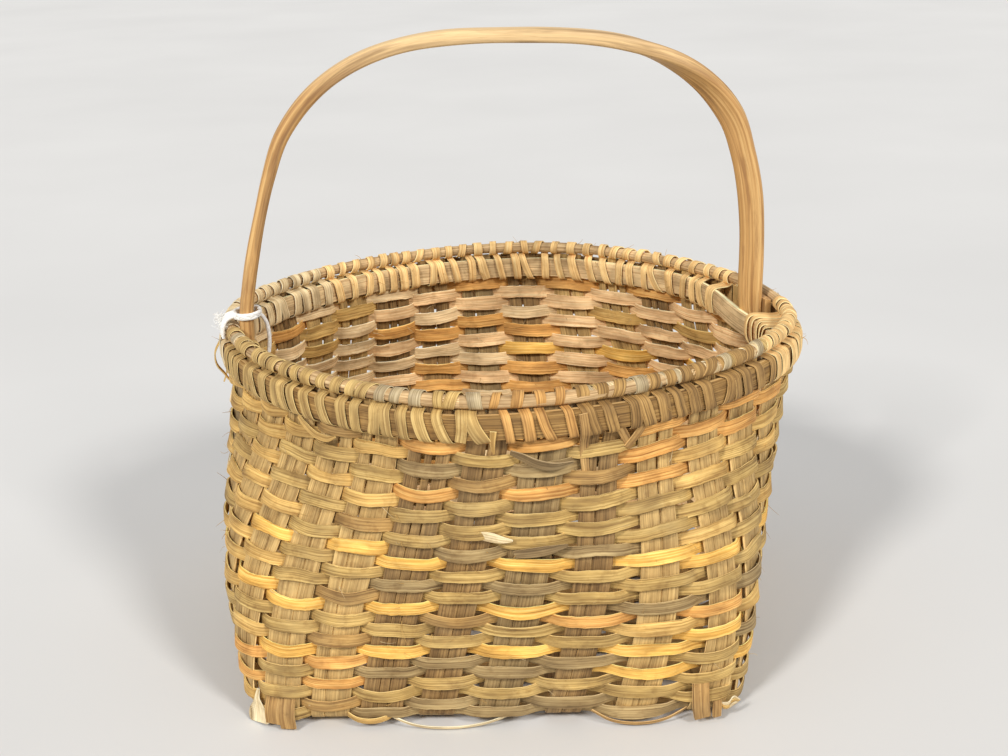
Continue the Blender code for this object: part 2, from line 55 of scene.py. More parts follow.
scene = bpy.context.scene
lens = bpy.data.cameras.new("view")
lens.lens = CAMERA_LENS
lens.sensor_width = 36.0
lens.clip_start = 0.01
lens.clip_end = 50.0
camera = bpy.data.objects.new("view", lens)
camera.matrix_world = (Matrix.Translation(CAMERA_PLACE)
                       @ Matrix.Rotation(CAMERA_HEADING, 4, "Z")
                       @ Matrix.Rotation(math.pi / 2.0 - CAMERA_DOWN, 4, "X")
                       @ Matrix.Rotation(CAMERA_ROLL, 4, "Z"))
scene.collection.objects.link(camera)
scene.camera = camera
scene.view_settings.view_transform = "Standard"


def tint(red, green, blue):
    """A colour as it looks on screen, 0 to 255."""
    shares = [part / 255.0 for part in (red, green, blue)]
    return tuple(part / 12.92 if part <= 0.04045 else ((part + 0.055) / 1.055) ** 2.4
                 for part in shares)


def new_finish(name, roughness):
    """An empty finish, its shader and its node tree."""
    finish = bpy.data.materials.new(name)
    finish.use_nodes = True
    shader = finish.node_tree.nodes["Principled BSDF"]
    shader.inputs["Roughness"].default_value = roughness
    return finish, shader, finish.node_tree


def add_node(tree, kind, **inputs):
    """A node with its inputs set, where _ stands for a space."""
    node = tree.nodes.new(kind)
    for name, value in inputs.items():
        node.inputs[name.replace("_", " ")].default_value = value
    return node


def blend_colours(tree, share, first, second, mode="MIX"):
    """A colour mix of numbers, colours or other nodes' outputs."""
    mix = tree.nodes.new("ShaderNodeMix")
    mix.data_type = "RGBA"
    mix.blend_type = mode
    for socket, value in zip((mix.inputs[0], mix.inputs[6], mix.inputs[7]), (share, first, second)):
        if isinstance(value, bpy.types.NodeSocket):
            tree.links.new(value, socket)
        else:
            socket.default_value = (*value, 1.0) if isinstance(value, tuple) else value
    return mix.outputs[2]


def spread_value(tree, value, low, high, new_low=0.0, new_high=1.0):
    """A value brought from one range into another."""
    change = add_node(tree, "ShaderNodeMapRange", From_Min=low, From_Max=high,
                      To_Min=new_low, To_Max=new_high)
    tree.links.new(value, change.inputs["Value"])
    return change.outputs["Result"]


def wash(tree, under, value, low, high, over, share=1.0, mode="MIX"):
    """One colour laid over another as a value goes from low to high."""
    return blend_colours(tree, spread_value(tree, value, low, high, 0.0, share), under, over, mode)


def combine_values(tree, operation, first, second):
    """The result of a sum on two values."""
    combine = tree.nodes.new("ShaderNodeMath")
    combine.operation = operation
    tree.links.new(first, combine.inputs[0])
    tree.links.new(second, combine.inputs[1])
    return combine.outputs["Value"]


def place_on_piece(tree):
    """The place on a piece, in metres."""
    return tree.nodes.new("ShaderNodeTexCoord").outputs["Object"]


def noise_at(tree, where, scale, detail, roughness=0.6, wave=0.0):
    """Noise at a place, with a scale for each direction."""
    sized = add_node(tree, "ShaderNodeMapping", Scale=scale)
    noise = add_node(tree, "ShaderNodeTexNoise", Scale=1.0, Detail=detail, Roughness=roughness,
                     Distortion=wave)
    tree.links.new(where, sized.inputs["Vector"])
    tree.links.new(sized.outputs["Vector"], noise.inputs["Vector"])
    return noise.outputs["Fac"]


def table_finish():
    """Smooth pale board with the faintest cloud in it."""
    finish, shader, tree = new_finish("pale_table", 0.6)
    cloud = noise_at(tree, place_on_piece(tree), (2.5, 2.5, 2.5), 3.0, roughness=0.5)
    colour = wash(tree, tint(210, 210, 210), cloud, 0.3, 0.7, tint(216, 216, 216))
    tree.links.new(colour, shader.inputs["Base Color"])
    return finish


def lay_table():
    """The table top, its edge far out of view."""
    mesh = bpy.data.meshes.new("table_top")
    half = 12.0
    mesh.from_pydata([(-half, -half, 0.0), (half, -half, 0.0), (half, half, 0.0), (-half, half, 0.0)],
                     [], [(0, 1, 2, 3)])
    mesh.materials.append(table_finish())
    table = bpy.data.objects.new("table_top", mesh)
    scene.collection.objects.link(table)


def hang_lamp(name, place, softness, strength):
    """A far soft lamp that shines on the basket."""
    light = bpy.data.lights.new(name, "SUN")
    light.angle = math.radians(softness)
    light.energy = strength
    light.color = (1.0, 0.975, 0.93)
    lamp = bpy.data.objects.new(name, light)
    lamp.location = place
    aim = Vector((0.0, 0.0, 0.1)) - Vector(place)
    lamp.rotation_euler = aim.to_track_quat("-Z", "Y").to_euler()
    scene.collection.objects.link(lamp)


def light_room(strength, seen):
    """An even pale room all round, seen as pale as the table."""
    room = bpy.data.worlds.new("room")
    room.use_nodes = True
    tree = room.node_tree
    glow = tree.nodes["Background"]
    glow.inputs["Color"].default_value = (1.0, 1.0, 1.0, 1.0)
    rays = tree.nodes.new("ShaderNodeLightPath")
    looked_at = combine_values(tree, "MAXIMUM", rays.outputs["Is Camera Ray"],
                               rays.outputs["Is Glossy Ray"])
    tree.links.new(spread_value(tree, looked_at, 0.0, 1.0, strength, seen), glow.inputs["Strength"])
    scene.world = room


lay_table()
hang_lamp("left_lamp", (-1.2, -1.8, 1.75), 10.0, 2.0)
hang_lamp("right_lamp", (1.35, -1.6, 1.65), 12.0, 1.75)
light_room(0.46, 0.7)


# The stakes.
# Sixteen flat splints of brown ash, about 16 mm wide, cross over and under in the base
# and bend up to be the ribs of the wall. Their tops have split into slivers with age.
FULL_TURN = 2.0 * math.pi
BASE_SIZE = np.array([0.236, 0.23])
MOUTH_SIZE = np.array([0.283, 0.264])
BASE_SHIFT = np.array([-0.0095, -0.003])
MOUTH_TURN = math.radians(-8.0)
WALL_FOOT = 0.00565
WALL_TOP = 0.14925
# How square the outline is: 2 is an ellipse, and a high power is nearly a rectangle
BASE_POWER = 10.0
MOUTH_POWER = 1.75
POWER_FALL = 2.1
EARLY_FLARE = 0.45
STAKE_TOP = 0.164
STAKES_EACH_WAY = 8
STAKES = 4 * STAKES_EACH_WAY
STAKE_WIDTH = 0.018
STAKE_THICK = 0.0015
SLIVER_THICK = 0.85 * STAKE_THICK
BASE_LEVEL = 0.00165
BASE_WAVE = 0.0009
LOWEST_MIDDLE = 0.0012
# How far the stakes wind round the wall by the mouth, in stakes, and where they crowd
STAKE_WIND = 1.44
STAKE_CROWDING = 0.54
CROWDED_STAKE = 4.5


def spread_places(length, crowding=0.0):
    """Eight stakes across the base, the middle ones moved to the left."""
    shares = np.arange(STAKES_EACH_WAY) / (STAKES_EACH_WAY - 1)
    return (shares - 0.5) * length - crowding * np.sin(np.pi * shares)


FRONT_PLACES = spread_places(0.2, 0.013)
SIDE_PLACES = spread_places(0.193)


def distances(points, closed=False):
    """Distance along a line at each point, and back at the first where it is closed."""
    ahead = np.roll(points, -1, axis=0) if closed else points[1:]
    steps = np.linalg.norm(ahead - points[:len(ahead)], axis=1)
    return np.concatenate([[0.0], np.cumsum(steps)])


def outline(level):
    """The wall's middle line at a height, from the front's middle anticlockwise."""
    share = min(max((level - WALL_FOOT) / (WALL_TOP - WALL_FOOT), 0.0), 1.0)
    flare = share * (1.0 + EARLY_FLARE * (1.0 - share))
    half = (BASE_SIZE + (MOUTH_SIZE - BASE_SIZE) * flare) / 2.0
    power = MOUTH_POWER + (BASE_POWER - MOUTH_POWER) * (1.0 - share) ** POWER_FALL
    angle = np.linspace(-np.pi / 2.0, 1.5 * np.pi, 1441)
    reach = (np.abs(np.cos(angle) / half[0]) ** power
             + np.abs(np.sin(angle) / half[1]) ** power) ** (-1.0 / power)
    turned = angle + MOUTH_TURN * share
    points = np.stack([reach * np.cos(turned), reach * np.sin(turned)], axis=1)
    points += BASE_SHIFT * (1.0 - share)
    travel = distances(points)
    return points, travel / travel[-1], share


def stake_shares():
    """Share of the way round of each stake, at foot and mouth."""
    half_x, half_y = BASE_SIZE / 2.0
    root = 1.0 / BASE_POWER
    front = [(x, -half_y * (1.0 - abs(x / half_x) ** BASE_POWER) ** root) for x in FRONT_PLACES]
    right = [(half_x * (1.0 - abs(y / half_y) ** BASE_POWER) ** root, y) for y in SIDE_PLACES]
    feet = front + right + [(x, -y) for x, y in front[::-1]] + [(-x, y) for x, y in right[::-1]]
    points, travel, _ = outline(WALL_FOOT)
    round_base = np.unwrap(np.arctan2(points[:, 1] - BASE_SHIFT[1], points[:, 0] - BASE_SHIFT[0]))
    foot_shares = []
    for number, (x, y) in enumerate(feet):
        wanted = math.atan2(y, x)
        while wanted < round_base[0]:
            wanted += FULL_TURN
        share = float(np.interp(wanted, round_base, travel))
        foot_shares.append(share - 1.0 if number < STAKES_EACH_WAY // 2 else share)
    number = np.arange(STAKES)
    swing = np.cos(FULL_TURN * (number - CROWDED_STAKE) / STAKES)
    middle = (STAKES_EACH_WAY - 1) / 2.0
    mouth_shares = (number - middle + STAKE_WIND - STAKE_CROWDING * swing) / STAKES
    return np.array(foot_shares), mouth_shares


FOOT_SHARES, MOUTH_SHARES = stake_shares()


def unit(vectors):
    """Vectors brought to length one."""
    return vectors / np.linalg.norm(vectors, axis=-1, keepdims=True)


def square_to(along, vectors):
    """Unit vectors square to a direction, nearest to the given ones."""
    return unit(vectors - along * np.sum(vectors * along, axis=-1, keepdims=True))


def headings(points):
    """The direction of a line at each of its points."""
    return unit(np.gradient(points, axis=0))


def on_wall(places, level):
    """Points on the wall's middle at stake places, 0 to 32 round the wall."""
    points, travel, rise = outline(level)
    shares = FOOT_SHARES + (MOUTH_SHARES - FOOT_SHARES) * rise
    around = np.interp(places, np.arange(-STAKES, 2 * STAKES),
                       np.concatenate([shares - 1.0, shares, shares + 1.0])) % 1.0
    flat = [np.interp(around, travel, points[:, axis]) for axis in (0, 1)]
    return np.stack([*flat, np.full(np.shape(around), level)], axis=-1)


def wall(places, level):
    """Points, level, upward and outward directions on the wall."""
    places = np.asarray(places, dtype=float)
    along = unit(on_wall(places + 0.08, level) - on_wall(places - 0.08, level))
    up = square_to(along, on_wall(places, level + 0.002) - on_wall(places, level - 0.002))
    return on_wall(places, level), along, up, np.cross(along, up)


def wander(shares, low, high, amount, rng):
    """A slow random drift that ends as it starts."""
    waves = rng.integers(low, high + 1, 7)
    return amount * 0.45 * np.sin(FULL_TURN * (np.outer(shares, waves) + rng.random(7))).sum(axis=1)


# Section of a splint, as shares of its half width and half thickness, with soft corners
SECTION = np.array([(1.0, -0.4), (1.0, 0.4), (0.93, 1.0), (0.4, 1.0), (-0.4, 1.0), (-0.93, 1.0),
                    (-1.0, 0.4), (-1.0, -0.4), (-0.93, -1.0), (-0.4, -1.0), (0.4, -1.0),
                    (0.93, -1.0)])
CUT_EDGES = np.isin(np.arange(12), (0, 6))


def skin(rings, run, low, high, closed=False, finishes=0):
    """A form from rings of points: points, faces, grain coordinates and finish numbers.

    Run is the grain coordinate along, in metres. Low and high are the one across at the two
    sides of each face, which is 1 or more on cut edges and ends.
    """
    count, sides = rings.shape[:2]
    i, k = np.divmod(np.arange((count if closed else count - 1) * sides), sides)
    here, after, j = i * sides, (i + 1) % count * sides, (k + 1) % sides
    faces = np.stack([here + k, here + j, after + j, after + k], axis=1).tolist()
    low, high = (np.broadcast_to(part, (count, sides))[i, k] for part in (low, high))
    grain = np.stack([run[i], low, run[i], high, run[i + 1], high, run[i + 1], low], axis=1)
    grain = [grain.reshape(-1, 2)]
    finishes = np.broadcast_to(finishes, count)
    kinds = finishes[i].tolist()
    if not closed:
        end = np.arange(sides)
        faces += [end[::-1].tolist(), (end + (count - 1) * sides).tolist()]
        grain += [np.stack([np.full(sides, run[0]), 1.0 + 0.001 * end], axis=1)] * 2
        kinds += [int(finishes[0])] * 2
    return rings.reshape(-1, 3), faces, np.concatenate(grain), kinds


def splint_form(middles, across, out, widths, thick, closed=False, finishes=0, cup=0.0, start=0.0):
    """One splint that follows its middle line, as a form."""
    facing = np.dot(middles[1] - middles[0], np.cross(across[0], out[0]))
    ring = SECTION if facing > 0.0 else SECTION * (-1.0, 1.0)
    widths = np.broadcast_to(widths, len(middles))
    aside = ring[None, :, 0] * widths[:, None] / 2.0
    above = ring[None, :, 1] * thick / 2.0 + cup * (1.0 - ring[None, :, 0] ** 2)
    rings = middles[:, None] + across[:, None] * aside[..., None] + out[:, None] * above[..., None]
    return skin(rings, start + distances(middles, closed), CUT_EDGES + aside,
                CUT_EDGES + np.roll(aside, -1, axis=1), closed, finishes)


def strip_form(middles, aside, widths, thick, **more):
    """A splint along a free line, with its width towards a direction, as a form."""
    forwards = headings(middles)
    across = square_to(forwards, aside)
    return splint_form(middles, across, np.cross(forwards, across), widths, thick, **more)


def make_piece(name, forms, finishes, replaced=(), sharp=35.0):
    """Join forms into one piece that rides on the basket."""
    faces, kinds, base = [], [], 0
    for points, form_faces, _, form_kinds in forms:
        faces += [[base + corner for corner in face] for face in form_faces]
        kinds += form_kinds
        base += len(points)
    mesh = bpy.data.meshes.new(name)
    mesh.from_pydata(np.concatenate([form[0] for form in forms]).tolist(), [], faces)
    grain = np.concatenate([form[2] for form in forms]).astype(np.float32)
    mesh.uv_layers.new(name="grain").data.foreach_set("uv", grain.ravel())
    for finish in finishes:
        mesh.materials.append(finish)
    mesh.polygons.foreach_set("material_index", kinds)
    mesh.polygons.foreach_set("use_smooth", [True] * len(faces))
    mesh.set_sharp_from_angle(angle=math.radians(sharp))
    piece = bpy.data.objects.new(name, mesh)
    scene.collection.objects.link(piece)
    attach(piece, "root")
    if replaced:
        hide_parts(*replaced)


def grain_way(tree):
    """Grain coordinates, metres along a piece and across it."""
    way = tree.nodes.new("ShaderNodeUVMap")
    way.uv_map = "grain"
    return way.outputs["UV"]


def one_part(tree, vector, axis):
    """One of the three numbers of a vector."""
    parts = tree.nodes.new("ShaderNodeSeparateXYZ")
    tree.links.new(vector, parts.inputs["Vector"])
    return parts.outputs[axis]


def figured(tree, fibres, dark, middle, pale):
    """Wood in three tints that follow its fibres."""
    wood = wash(tree, tint(*dark), fibres, 0.3, 0.5, tint(*middle))
    return wash(tree, wood, fibres, 0.48, 0.72, tint(*pale))


def raise_surface(tree, shader, height, strength, depth):
    """Fine relief that follows a value."""
    bump = add_node(tree, "ShaderNodeBump", Strength=strength, Distance=depth)
    tree.links.new(height, bump.inputs["Height"])
    tree.links.new(bump.outputs["Normal"], shader.inputs["Normal"])


def splint_finish(name, pale, middle, dark, weather=0.3, shine=0.0):
    """Split ash wood: long fibres, a grey bloom, cut edges painted paler, partly as fresh cut wood
    and partly as a painted highlight.
    """
    finish, shader, tree = new_finish(name, 0.8)
    grain, place = grain_way(tree), place_on_piece(tree)
    fibres = noise_at(tree, grain, (16.0, 1300.0, 1.0), 4.0)
    fine = noise_at(tree, grain, (110.0, 5200.0, 1.0), 2.0)
    tone = noise_at(tree, grain, (34.0, 120.0, 1.0), 3.0)
    patches = noise_at(tree, place, (32.0, 32.0, 32.0), 4.0, roughness=0.65)
    stains = noise_at(tree, place, (150.0, 150.0, 150.0), 3.0)
    wood = figured(tree, fibres, dark, middle, pale)
    wood = wash(tree, wood, patches, 0.45, 0.7, tint(152, 134, 100), weather)
    shade = wash(tree, (0.64, 0.6, 0.54), tone, 0.36, 0.62, (1.18, 1.18, 1.14))
    wood = blend_colours(tree, 1.0, wood, shade, "MULTIPLY")
    wood = wash(tree, wood, stains, 0.55, 0.7, (0.62, 0.54, 0.44), 0.3 + weather, "MULTIPLY")
    specks = wash(tree, (0.7, 0.67, 0.62), fine, 0.3, 0.55, (1.0, 1.0, 1.0))
    wood = blend_colours(tree, 0.3 + weather, wood, specks, "MULTIPLY")
    # Cut edges are painted paler: partly the fresh wood of the cut, partly a painted highlight where
    # light catches the edge.
    cut_edge_and_highlight = tint(*(min(255, part + 30) for part in pale))
    wood = wash(tree, wood, one_part(tree, grain, "Y"), 0.5, 0.6, cut_edge_and_highlight, 0.8)
    tree.links.new(wood, shader.inputs["Base Color"])
    rough = spread_value(tree, fibres, 0.3, 0.7, 0.9 - shine, 0.68 - shine)
    tree.links.new(rough, shader.inputs["Roughness"])
    height = combine_values(tree, "ADD", fibres, spread_value(tree, fine, 0.0, 1.0, 0.0, 0.45))
    raise_surface(tree, shader, height, 0.4, 0.0004)
    return finish


def splint_finishes(*rows):
    """Finishes from rows of name, pale, middle and dark tint, weather and shine."""
    return [splint_finish(*row) for row in rows]


# The stakes' tints are darker partly as their own splint and partly as painted shade, standing for
# the shade between the weaver rows.
STAKE_FINISHES = splint_finishes(
    ("stake_straw", (222, 190, 128), (196, 162, 104), (154, 122, 74)),
    ("stake_brown", (178, 144, 92), (146, 114, 70), (104, 78, 46)),
    ("stake_grey", (178, 152, 106), (148, 122, 80), (108, 86, 54), 0.4)
)


def smooth_line(knots, spacing):
    """Rows a spacing apart along a smooth curve through knots, which are such rows."""
    knots = np.asarray(knots, dtype=float)
    travel = distances(knots[:, :3])
    wanted = np.linspace(0.0, travel[-1], max(int(travel[-1] / spacing), 2) + 1)
    slopes = np.gradient(knots, travel, axis=0)
    span = np.clip(np.searchsorted(travel, wanted, side="right") - 1, 0, len(knots) - 2)
    width = travel[span + 1] - travel[span]
    t = ((wanted - travel[span]) / width)[:, None]
    leaving, arriving = (width[:, None] * slopes[span + step] for step in (0, 1))
    return ((2 * t ** 3 - 3 * t ** 2 + 1) * knots[span] + (t ** 3 - 2 * t ** 2 + t) * leaving
            + (3 * t ** 2 - 2 * t ** 3) * knots[span + 1] + (t ** 3 - t ** 2) * arriving)


WALL_LEVELS = np.linspace(WALL_FOOT + 0.0035, STAKE_TOP, 30)
STAKE_LINES = [wall(np.arange(STAKES), level) for level in WALL_LEVELS]


def stake_wall(number):
    """Rows of middle point and level direction of a stake, from the foot up."""
    return [np.concatenate([line[0][number], line[1][number]]) for line in STAKE_LINES]


def stake_base(place, along_y, crossings, parity):
    """Such rows for its length in the base, over and under the crossing stakes."""
    rows = []
    across = (1.0, 0.0, 0.0) if along_y else (0.0, 1.0, 0.0)
    for i, crossing in enumerate(crossings):
        level = BASE_LEVEL + (BASE_WAVE if (i + parity) % 2 == 0 else -BASE_WAVE)
        for side in (-0.006, 0.006):
            spot = (place, crossing + side) if along_y else (crossing + side, place)
            rows.append(np.array([spot[0] + BASE_SHIFT[0], spot[1] + BASE_SHIFT[1], level, *across]))
    return rows


def lay_stake(name, place, along_y, low_end, high_end, crossings, parity, finish, rng):
    """One stake from rim to rim, in slivers that part towards their tops."""
    middle = stake_base(place, along_y, crossings, parity)
    first, last = stake_wall(low_end)[::-1], stake_wall(high_end)
    for wall_rows, near in ((first, middle[0]), (last, middle[-1])):
        for row in wall_rows:
            if np.dot(row[3:6], near[3:6]) < 0.0:
                row[3:6] *= -1.0
    line = smooth_line(first + middle + last, 0.0035)
    line[:, 2] = np.maximum(line[:, 2], LOWEST_MIDDLE)
    points = line[:, :3]
    along = headings(points)
    across = square_to(along, unit(line[:, 3:6]))
    out = np.cross(along, across)
    inside = np.array([BASE_SHIFT[0], BASE_SHIFT[1], 0.09])
    if np.dot(out[0], points[0] - inside) < 0.0:
        out = -out
    reach = np.linspace(0.0, 1.0, len(points))
    level = points[:, 2]
    width = STAKE_WIDTH + rng.normal(0.0, 0.0007) + wander(reach, 2, 9, 0.0006, rng)
    width = width + 0.0016 * np.clip((level - 0.07) / 0.07, 0.0, 1.0)
    slivers = int(rng.integers(2, 4))
    ranges = ((0.25, 0.75),) if slivers == 2 else ((0.24, 0.4), (0.6, 0.76))
    bounds = [0.0, *(rng.uniform(*limits) for limits in ranges), 1.0]
    opening = np.array([np.clip((level - rng.uniform(0.085, 0.125)) / 0.05, 0.0, 1.0) ** 1.3
                        for _ in range(2)])
    half = len(points) // 2
    gap = 0.00012 + 0.0016 * np.where(np.arange(len(points)) < half, opening[0], opening[1])
    forms = []
    for i in range(slivers):
        left, right = bounds[i] - 0.5, bounds[i + 1] - 0.5
        centre = (left + right) / 2.0
        piece_width = (right - left) * width - gap + wander(reach, 6, 30, 0.00012, rng)
        spare = wander(reach, 4, 14, 0.00012, rng)
        middles = points + across * (centre * width)[:, None] + out * spare[:, None]
        forms.append(splint_form(middles, across, out, piece_width, SLIVER_THICK, cup=0.0001,
                                 start=rng.uniform(0.0, 40.0)))
    make_piece("splint_" + name, forms, [finish], [name])


def lay_stakes():
    """All sixteen stakes, each way across the base."""
    rng = np.random.default_rng(11)
    straw, brown, grey = STAKE_FINISHES
    for i, x in enumerate(FRONT_PLACES):
        # The brown and grey stakes in the middle of the front are partly painted shade for the dark
        # between the weaver rows there.
        finish = (straw, straw, brown, brown, grey, brown, straw, straw)[i]
        lay_stake(f"stake_front_back_{i + 1}", x, True, i, 23 - i, SIDE_PLACES, i, finish, rng)
    for i, y in enumerate(SIDE_PLACES):
        finish = (straw, straw, straw, grey, straw, straw, straw, brown)[i]
        lay_stake(f"stake_left_right_{i + 1}", y, False, 31 - i, 8 + i, FRONT_PLACES, i + 1,
                  finish, rng)


lay_stakes()


# The weavers.
# Twenty-five rows of narrow splint go over one stake and under the next. They bulge where
# they pass outside a stake, and old, honey and orange splints follow each other in a row.
ROWS = 25
WEAVER_PITCH = 0.00576
WEAVER_WIDTH = 0.0059
WEAVER_THICK = 0.0011
WEAVE_OFFSET = 0.00193
BULGE_OUTSIDE = 0.0007
BULGE_INSIDE = 0.0009
STATIONS = 14

OLIVE, GREY, BROWN, HONEY, ORANGE, YELLOW, RED, FAWN = range(8)
WEAVER_FINISHES = splint_finishes(
    ("weaver_olive", (224, 194, 126), (188, 154, 90), (128, 98, 54)),
    ("weaver_grey", (198, 174, 126), (160, 134, 90), (108, 84, 52)),
    ("weaver_brown", (208, 170, 106), (170, 132, 76), (114, 82, 44)),
    ("weaver_honey", (238, 204, 130), (210, 168, 96), (152, 112, 58), 0.2),
    ("weaver_orange", (248, 204, 126), (224, 164, 88), (166, 110, 50), 0.15),
    ("weaver_yellow", (255, 222, 138), (240, 186, 90), (186, 132, 54), 0.1),
    ("weaver_red", (255, 232, 186), (250, 208, 156), (198, 148, 98), 0.15),
    ("weaver_fawn", (255, 238, 198), (244, 212, 164), (188, 152, 108), 0.2)
)
# What a splint may be from a stake on: weathered in front, paler and redder at the back
SPLINT_RUNS = [(0, (OLIVE, OLIVE, HONEY, BROWN)), (2, (OLIVE, OLIVE, GREY, BROWN)),
               (6, (OLIVE, OLIVE, HONEY, GREY)), (11, (RED, RED, FAWN, HONEY)),
               (17, (RED, RED, FAWN, ORANGE)), (22, (FAWN, FAWN, FAWN, HONEY)),
               (28, (OLIVE, HONEY, HONEY))]
# Stretches of a fresher colour: row, first and last stake
FRESH_RUNS = {
    ORANGE: ((4, 30, 33), (6, 30, 33), (10, 5, 7), (21, 2, 7), (23, 6, 8), (24, 7, 11), (25, 2, 9),
             (25, 13, 20), (24, 24, 25), (16, 14, 19), (14, 15, 20)),
    YELLOW: ((5, 6, 8), (7, 0, 7), (8, 7, 9), (11, 0, 5), (12, 29, 31), (14, 7, 9), (15, 2, 7),
             (16, 31, 33), (18, 13, 19)),
    RED: ((24, 14, 21), (23, 12, 19), (21, 14, 18), (20, 12, 17)),
}


def weaver_finishes(row, places, rng):
    """Finish at each station. A new splint starts behind a stake."""
    kinds = np.full(STAKES, OLIVE)
    for first, choice in SPLINT_RUNS:
        kinds[first + int(rng.integers(0, 2)):] = rng.choice(choice)
    for kind, runs in FRESH_RUNS.items():
        for _, first, last in (run for run in runs if run[0] == row):
            kinds[np.arange(first, last + 1) % STAKES] = kind
    around = places % STAKES
    shown = np.where((around > 12.0) & (around < 24.0), row % 2, (row - 1) % 2)
    shown_stakes = 2 * np.round((places - shown) / 2.0).astype(int) + shown
    return kinds[shown_stakes % STAKES]


def weaver_line(row, rng):
    """Places, middles, upward and outward directions and widths of a row."""
    level = WALL_FOOT + (row - 0.5) * WEAVER_PITCH
    places = 18.5 + row % 5 + np.arange(STAKES * STATIONS) / STATIONS
    middles, along, up, out = wall(places, level)
    nearest = np.round(places).astype(int)
    side = np.where((nearest + row - 1) % 2 == 0, 1.0, -1.0)
    swing = np.cos(np.pi * (places - nearest))
    flat = np.sin(np.pi / 2.0 * np.sin(np.pi / 2.0 * swing))
    own = rng.standard_normal((4, STAKES))[:, nearest % STAKES]
    bulge = np.where(side > 0.0, BULGE_OUTSIDE, BULGE_INSIDE) * swing ** 2 * (1.0 + 0.35 * own[0])
    away = side * (WEAVE_OFFSET * flat + bulge)
    lift = wander(places / STAKES, 2, 20, 0.0004, rng) + 0.0006 * own[1] * swing ** 2
    lean = (0.14 * own[2] - 0.1 * side) * swing ** 2
    middles = middles + out * away[:, None] + up * lift[:, None]
    across = unit(up + out * lean[:, None])
    shares = places / STAKES
    widths = WEAVER_WIDTH + rng.normal(0.0, 0.0002) + wander(shares, 4, 26, 0.0003, rng)
    widths += wander(shares, 40, 190, 0.0002, rng) + 0.0003 * own[3] * swing ** 2
    at_back = np.clip(1.0 - np.abs((places % STAKES) - 19.0) / 12.0, 0.0, 1.0)
    widths += 0.0014 * at_back ** 0.5 * min(row / 14.0, 1.0)
    return places, middles, across, unit(np.cross(along, across)), widths


def weave_row(row, rng):
    """One row of the wall, a closed ring of splint."""
    places, middles, across, out, widths = weaver_line(row, rng)
    form = splint_form(middles, across, out, widths, WEAVER_THICK, closed=True,
                       finishes=weaver_finishes(row, places, rng), cup=0.00012,
                       start=rng.uniform(0.0, 40.0))
    make_piece(f"splint_row_{row:02d}", [form], WEAVER_FINISHES,
               [f"weaver_row_{row:02d}"])


weave_rng = np.random.default_rng(23)
for row_number in range(1, ROWS + 1):
    weave_row(row_number, weave_rng)


# The rim.
# Two flat hoops of split ash clamp the stake tops, one outside and one inside, and a
# round peeled rod lies on top of the gap between them.
HOOP_MIDDLE = 0.1564
HOOP_HEIGHT = 0.0114
OUTER_HOOP = 0.0033
OUTER_THICK = 0.0045
INNER_HOOP = -0.0028
INNER_THICK = 0.0035
ROD_LEVEL = 0.16735
ROD_DIAMETER = 0.0058
FEET_SHARES = (0.2916, 0.7979)
# How far the inner hoop stands off at each foot, and over how many stakes to either side
STAND_OFFS = ((0.296, 0.0148, 3.2), (0.7979, 0.0062, 1.0))


def on_rim(shares, aside, level):
    """Points, level and outward directions at shares of the way round the rim."""
    points, travel, _ = outline(WALL_TOP)

    def at(where):
        return np.stack([np.interp(where % 1.0, travel, points[:, axis]) for axis in (0, 1)], axis=-1)

    def raised(flat, level):
        level = np.broadcast_to(level, flat.shape[:-1])
        return np.concatenate([flat, level[..., None]], axis=-1)

    along = unit(at(shares + 0.003) - at(shares - 0.003))
    out = np.stack([along[..., 1], -along[..., 0]], axis=-1)
    middles = at(shares) + out * np.asarray(aside)[..., None]
    return raised(middles, level), raised(along, 0.0), raised(out, 0.0)


def stand_off(shares):
    """How far the inner hoop leaves the stakes by the handle's feet."""
    total = np.zeros(np.shape(shares))
    for foot, amount, reach in STAND_OFFS:
        away = np.abs((shares - foot + 0.5) % 1.0 - 0.5) * STAKES / reach
        total = total + amount * np.cos(0.5 * np.pi * np.clip(away, 0.0, 1.0)) ** 2
    return total


OUTER_FINISH, INNER_FINISH, ROD_FINISH = splint_finishes(
    ("hoop_outside", (188, 150, 90), (148, 112, 60), (94, 66, 34), 0.15),
    ("hoop_inside", (248, 222, 172), (232, 200, 152), (182, 146, 102), 0.2),
    ("rod_peeled", (236, 210, 166), (204, 170, 124), (142, 106, 72), 0.15)
)


def bend_hoop(name, node, aside, thick, finish, rng, leaves=False):
    """A flat hoop. One that leaves the wall passes inside the handle's feet."""
    shares = np.arange(640) / 640.0
    offset = np.full(640, aside)
    if leaves:
        offset = offset - stand_off(shares)
    middles, along, out = on_rim(shares, offset, HOOP_MIDDLE + wander(shares, 2, 7, 0.0003, rng))
    up = np.broadcast_to((0.0, 0.0, 1.0), out.shape)
    heights = HOOP_HEIGHT + wander(shares, 2, 12, 0.0003, rng)
    form = splint_form(middles, up, out, heights, thick, closed=True, cup=0.0003 * np.sign(aside))
    make_piece(name, [form], [finish], [node])


def round_form(middles, radii, sides, closed=False, along=None, finish=0):
    """A round rod or strand as a form, with its grain along it."""
    along = headings(middles) if along is None else along
    first = np.cross(along, (0.0, 0.0, 1.0))
    upright = np.linalg.norm(first, axis=1, keepdims=True) < 0.05
    first = unit(np.where(upright, (1.0, 0.0, 0.0), first))
    second = np.cross(first, along)
    step = np.arange(sides, -1, -1)
    angle = FULL_TURN * step[:-1] / sides
    radii = np.broadcast_to(radii, len(middles))[:, None]
    rings = (middles[:, None] + first[:, None] * (np.cos(angle)[None] * radii)[..., None]
             + second[:, None] * (np.sin(angle)[None] * radii)[..., None])
    girth = FULL_TURN * float(np.mean(radii)) / sides
    return skin(rings, distances(middles, closed), step[:-1] * girth, step[1:] * girth, closed,
                finish)


